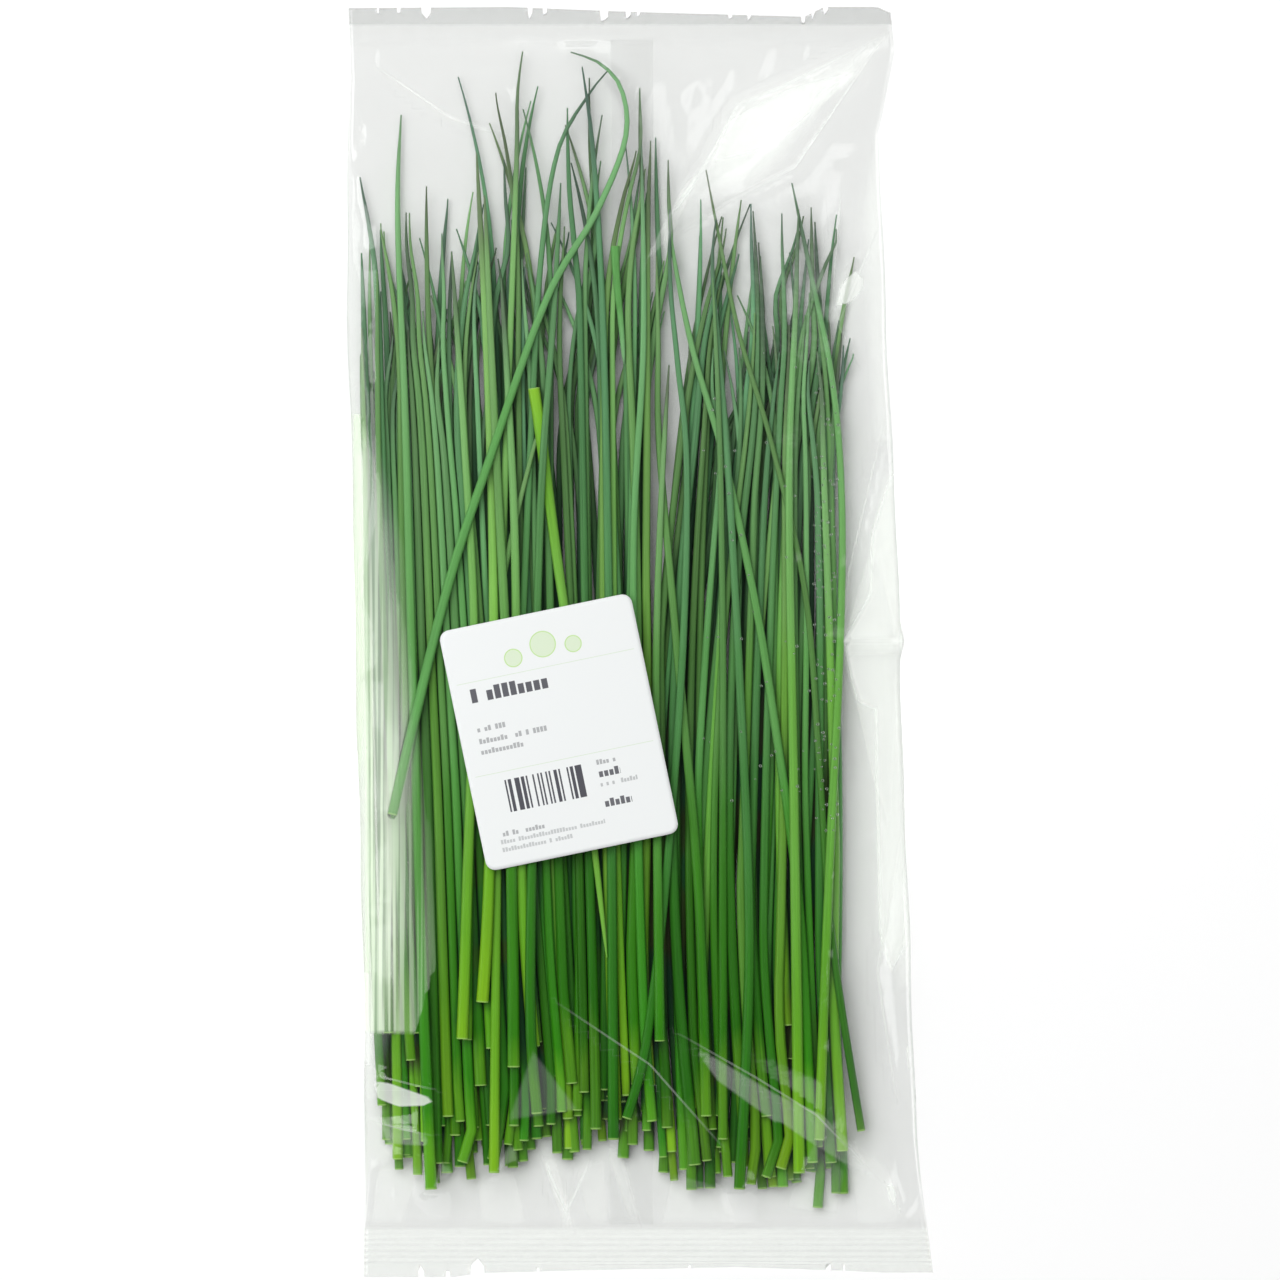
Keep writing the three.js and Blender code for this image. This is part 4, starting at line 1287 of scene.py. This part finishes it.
def dropletTree():
    make = Geometry("droplets", [
        ("Patch", "Geometry", None),
        ("Least radius", "Float", droplets["radius"][0] * mm),
        ("Greatest radius", "Float", droplets["radius"][1] * mm),
        ("Flatness", "Float", droplets["flatness"]),
        ("Seed", "Int", droplets["seed"]),
    ])
    given = make.given
    inputs = {"Mesh": given["Patch"], "Density": make.attribute("dropsPerArea"), "Seed": given["Seed"]}
    spots = make.add("GeometryNodeDistributePointsOnFaces", {"distribute_method": "RANDOM"}, inputs)
    size = make.random(given["Seed"], given["Least radius"], given["Greatest radius"])
    drop = make.add("GeometryNodeMeshIcoSphere", {}, {"Radius": 1.0, "Subdivisions": 2})
    scale = make.vector(size, size, size * given["Flatness"])
    inputs = {"Points": spots, "Instance": make.smooth(drop), "Scale": scale}
    return make.finish(make.add("GeometryNodeInstanceOnPoints", {}, inputs))


def makeDroplets(sheet):
    points, faces, density = [], [], []
    for (left, right), (low, high), drops in droplets["patches"]:
        step = droplets["step"]
        x, y = np.meshgrid(np.arange(left, right, step), np.arange(low, high, step))
        faces += gridFaces(len(points) + np.arange(x.size).reshape(x.shape)).tolist()
        points += (np.stack([x, y, sheet.at(x, y) + droplets["lift"]], -1).reshape(-1, 3) * mm).tolist()
        density += [drops / mm**2] * x.size
    patch = meshed("wetPatch", points, faces)
    store(patch, "dropsPerArea", density)
    material = filmMaterial("waterDrop", dropLook)
    piece = bakedPiece("water_drops", linked("wetPatch", patch), dropletTree(), {"Material": material})
    piece.visible_shadow = False
    settle(piece, "film_sleeve")


label = {
    "width": 59,
    "length": 73.5,
    "corner": 3,
    "centre": (-24.4, -27.1),
    "turn": math.radians(11.7),
    "thick": 0.12,
    "columns": 48,
    "rows": 60,
    "overFilm": 0.1,
    # it is stiffer than the film: how far around it rests on, and how near it keeps to the highest place
    "stiffness": {"reach": 9, "steps": 7, "high": 0.35},
    "pressedPast": 1,  # how far past its rim the film is pressed against it
}


# x and y of points at (u, v) from the label's middle.
def labelPoint(u, v):
    cos, sin = math.cos(label["turn"]), math.sin(label["turn"])
    return label["centre"][0] + u * cos - v * sin, label["centre"][1] + u * sin + v * cos


# How high the label lies at (x, y), where it smooths the film's dips over.
def labelHeight(sheet, x, y):
    stiff = label["stiffness"]
    steps = np.linspace(-stiff["reach"], stiff["reach"], stiff["steps"])
    near = [(dx, dy) for dx in steps for dy in steps if math.hypot(dx, dy) < stiff["reach"] + 0.5]
    around = [sheet.at(x + dx, y + dy) for dx, dy in near]
    return mix(np.mean(around, axis=0), np.max(around, axis=0), stiff["high"])


# Presses the film against the back of the label.
def stickFilm(sheet):
    cos, sin = math.cos(label["turn"]), math.sin(label["turn"])
    dx, dy = sheet.x - label["centre"][0], sheet.y - label["centre"][1]
    u, v = dx * cos + dy * sin, dy * cos - dx * sin
    halfU, halfV = (label[side] / 2 + label["pressedPast"] for side in ("width", "length"))
    under = (np.abs(u) < halfU) & (np.abs(v) < halfV)
    sheet.heights = np.where(under, labelHeight(sheet, sheet.x, sheet.y), sheet.heights)


def makeLabel(sheet):
    halfU, halfV, corner = label["width"] / 2, label["length"] / 2, label["corner"]
    us, vs = np.linspace(-halfU, halfU, label["columns"]), np.linspace(-halfV, halfV, label["rows"])
    u, v = np.meshgrid(us, vs)
    # each corner square is drawn in to a quarter disc
    cu, cv = np.maximum(np.abs(u) - halfU + corner, 0), np.maximum(np.abs(v) - halfV + corner, 0)
    pull = np.maximum(cu, cv) / np.maximum(np.hypot(cu, cv), 1e-9)
    inCorner = (cu > 0) & (cv > 0)
    u = np.where(inCorner, np.sign(u) * (halfU - corner + cu * pull), u)
    v = np.where(inCorner, np.sign(v) * (halfV - corner + cv * pull), v)
    x, y = labelPoint(u, v)
    z = labelHeight(sheet, x, y) + label["overFilm"]
    top, bottom = np.stack([x, y, z + label["thick"]], -1), np.stack([x, y, z], -1)
    piece = linked("paper_label", twoSheets("labelSheet", top, bottom))
    store(piece.data, "labelAcross", np.tile(u.ravel(), 2))
    store(piece.data, "labelUp", np.tile(v.ravel(), 2))
    store(piece.data, "labelFace", np.repeat([1.0, 0.0], u.size))
    piece.data.shade_smooth()
    piece.data.materials.append(labelMaterial())
    settle(piece, "label")


# What is printed, in millimetres from the label's middle. Grey bars stand in for lines of words.
printed = {
    "hairlines": [(20.0, 27.2), (-8.2, 27.3)],  # v, and half the length
    "hairline": 0.1,  # half their width
    "dots": [(-8.9, 24.6, 2.8), (0.6, 26.9, 4.0), (9.6, 25.2, 2.6)],  # u, v and radius
    "dotCover": (0.35, 0.4, 0.35),  # inside, how much more at the edge, and the edge's width
    # lines of words: left end, middle height, length, height, the width of a letter, darkness
    "words": [
        (-24.0, 15.8, 26, 4.2, 2.4, 0.88),
        (-24.0, 5.6, 9, 1.6, 1.1, 0.5),
        (-24.1, 2.0, 23, 1.6, 1.1, 0.5),
        (-24.2, -1.2, 13, 1.6, 1.1, 0.5),
        (9.1, -11.2, 7, 1.5, 1.0, 0.5),
        (9.1, -14.6, 6.7, 2.4, 1.6, 0.85),
        (9.0, -17.9, 11.4, 1.4, 0.9, 0.4),
        (9.1, -23.7, 8.4, 2.4, 1.6, 0.85),
        (-23.8, -26.6, 14, 1.5, 1.0, 0.5),
        (-23.8, -28.9, 32, 1.3, 0.9, 0.35),
        (-23.8, -31.3, 22, 1.3, 0.9, 0.35),
    ],
    # a letter is a block: where it starts and ends in its width, how high a low one is, the luck above
    # which it is tall and below which it is left out, and a number that gives each line its own luck
    "letter": {"from": 0.12, "to": 0.88, "low": 0.72, "tallAbove": 0.6, "spaceBelow": 0.14, "luck": 7.3},
    "bars": {"left": -19.7, "right": 4.6, "top": -10.8, "bottom": -20.6, "pitch": 0.5, "above": 0.52,
             "cover": 0.92},
    "ink": (0.02, 0.018, 0.035, 1.0),
    "lineColour": (0.66, 0.74, 0.62, 1.0),
    "dotColour": (0.42, 0.68, 0.16, 1.0),
    "paper": (0.805, 0.825, 0.822, 1.0),
    "roughness": (0.4, 0.6),
}


def labelMaterial():
    make = Material("printedPaper")
    u, v = make.attribute("labelAcross"), make.attribute("labelUp")

    def within(value, low, high):
        return (value > low) * (value < high)

    def chance(number):
        return make.add("ShaderNodeTexWhiteNoise", {"noise_dimensions": "1D"}, {"W": number})

    # a line of words: small blocks of uneven height, some left out between words
    def wordInk(left, middle, length, height, pitch, darkness):
        letter = printed["letter"]
        along = (u - left) / pitch
        luck = chance(along.math("FLOOR") + middle * letter["luck"])
        tall = height * mix(letter["low"], 1, luck > letter["tallAbove"])
        block = within(along.math("FRACT"), letter["from"], letter["to"]) * (luck > letter["spaceBelow"])
        block = block * within(v - (middle - height / 2), 0.0, tall)
        return within(u, left, left + length) * block * darkness

    def dotInk(at, up, radius):
        inside, more, edge = printed["dotCover"]
        offset = make.vector(u - at, v - up)
        away = make.add("ShaderNodeVectorMath", {"operation": "LENGTH"}, {0: offset}, output=1)
        return (away < radius) * (inside + (away > radius - edge) * more)

    bars, thin = printed["bars"], printed["hairline"]
    bar = (chance((u / bars["pitch"]).math("FLOOR")) > bars["above"]) * bars["cover"]
    bar = bar * within(u, bars["left"], bars["right"]) * within(v, bars["bottom"], bars["top"])
    lines = sum(within(v, at - thin, at + thin) * within(u, -half, half) for at, half in printed["hairlines"])
    dots = sum(dotInk(*dot) for dot in printed["dots"])
    words = sum(wordInk(*line) for line in printed["words"])
    face = make.attribute("labelFace") > 0.5
    colour = printed["paper"]
    for ink, name in ((lines, "lineColour"), (dots, "dotColour"), (words + bar, "ink")):
        colour = make.mixColour(face * ink, colour, printed[name])
    fibres = make.noise(make.place, scale=900.0, detail=3.0)
    bump = make.bump(fibres, strength=0.1, depth=0.05)
    roughness = mix(*printed["roughness"], fibres)
    inputs = {"Base Color": colour, "Roughness": roughness, "Normal": bump, "Specular IOR Level": 0.4}
    return make.finish(make.surface(inputs))


# The floor, the light and the camera.
studio = {
    "floorSize": 6.0,
    "floorColour": (0.95, 0.95, 0.95, 1.0),
    "floorRoughness": (0.75, 0.85),
    "cameraHeight": 1.6,
    "cameraUp": 0.0006,  # how far its middle lies above the sleeve's
    "frameWidth": 0.3891,  # seen across the picture at the surface
    # a wide soft lamp overhead that the film doesn't mirror: place, size and power
    "keyLamp": {"place": (-0.5, 0.5, 2.0), "size": 1.9, "power": 48},
    # what the film mirrors: the room's brightness by height, from the horizon to overhead
    "room": [(0.0, 0.5), (0.3, 0.4), (0.6, 0.18), (0.9, 0.06), (1.0, 0.02)],
    # soft windows: the way to the middle, the cosines at which they start and are full, and brightness
    "windows": [
        ((-0.78, 0.05, 0.62), 0.96, 0.98, 2.0),
        ((1.0, 0.0, 0.05), 0.965, 0.99, 1.3),
        ((-1.0, 0.0, 0.05), 0.965, 0.99, 1.3),
        ((0.42, -0.3, 0.86), 0.976, 0.997, 1.3),
        ((0.3, 0.36, 0.88), 0.976, 0.997, 1.0),
    ],
}


def makeFloor():
    half = studio["floorSize"] / 2
    corners = [(-half, -half, 0), (half, -half, 0), (half, half, 0), (-half, half, 0)]
    mesh = meshed("floor", corners, [(0, 1, 2, 3)])
    make = Material("paleSurface")
    roughness = mix(*studio["floorRoughness"], make.noise(make.place, scale=60.0, detail=2.0))
    inputs = {"Base Color": studio["floorColour"], "Roughness": roughness, "Specular IOR Level": 0.1}
    mesh.materials.append(make.finish(make.surface(inputs)))
    linked("floor", mesh)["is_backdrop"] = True


def makeKeyLamp():
    key = studio["keyLamp"]
    data = bpy.data.lights.new("keyLamp", "AREA")
    data.size = key["size"]
    data.energy = key["power"]
    lamp = linked("keyLamp", data)
    lamp.location = key["place"]
    lamp.rotation_euler = (-lamp.location).to_track_quat("-Z", "Y").to_euler()
    lamp.visible_glossy = False


def makeRoom():
    world = bpy.data.worlds.new("whiteRoom")
    world.use_nodes = True
    world.node_tree.nodes.clear()
    make = Maker(world.node_tree)
    way = make.add("ShaderNodeTexCoord", output="Generated")
    height = make.add("ShaderNodeSeparateXYZ", {}, {0: way}, output=2)
    light = make.ramp(height, [(at, (value,) * 3) for at, value in studio["room"]])
    for middle, start, full, brightness in studio["windows"]:
        toward = tuple(np.array(middle) / np.linalg.norm(middle))
        near = make.add("ShaderNodeVectorMath", {"operation": "DOT_PRODUCT"}, {0: way, 1: toward}, output=1)
        light = light + make.eased(near, start, full) * brightness
    back = make.add("ShaderNodeBackground", {}, {"Color": light, "Strength": 1.0})
    make.add("ShaderNodeOutputWorld", {}, {"Surface": back})
    bpy.context.scene.world = world


def makeCamera():
    data = bpy.data.cameras.new("overhead")
    data.lens = data.sensor_width * studio["cameraHeight"] / studio["frameWidth"]
    data.clip_end = 20
    camera = linked("overhead", data)
    camera.location = (0, studio["cameraUp"], studio["cameraHeight"])
    bpy.context.scene.camera = camera
    bpy.context.scene.view_settings.view_transform = "Standard"


leaves, pile = makeLeaves()
print("leaves", len(leaves), "pile", round(float(pile.heights.max()), 1))
makeHanks(leaves, pile)
sheet = TopSheet(pile)
sheet.fold(folds + crumpleFolds())
stickFilm(sheet)
makeFilm(sheet)
makeDroplets(sheet)
makeLabel(sheet)
makeFloor()
makeKeyLamp()
makeRoom()
makeCamera()
print("built")


def corners(box):
    return [list(corner) for corner in box]


{"cad": corners(cadBox), "visual": corners(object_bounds())}
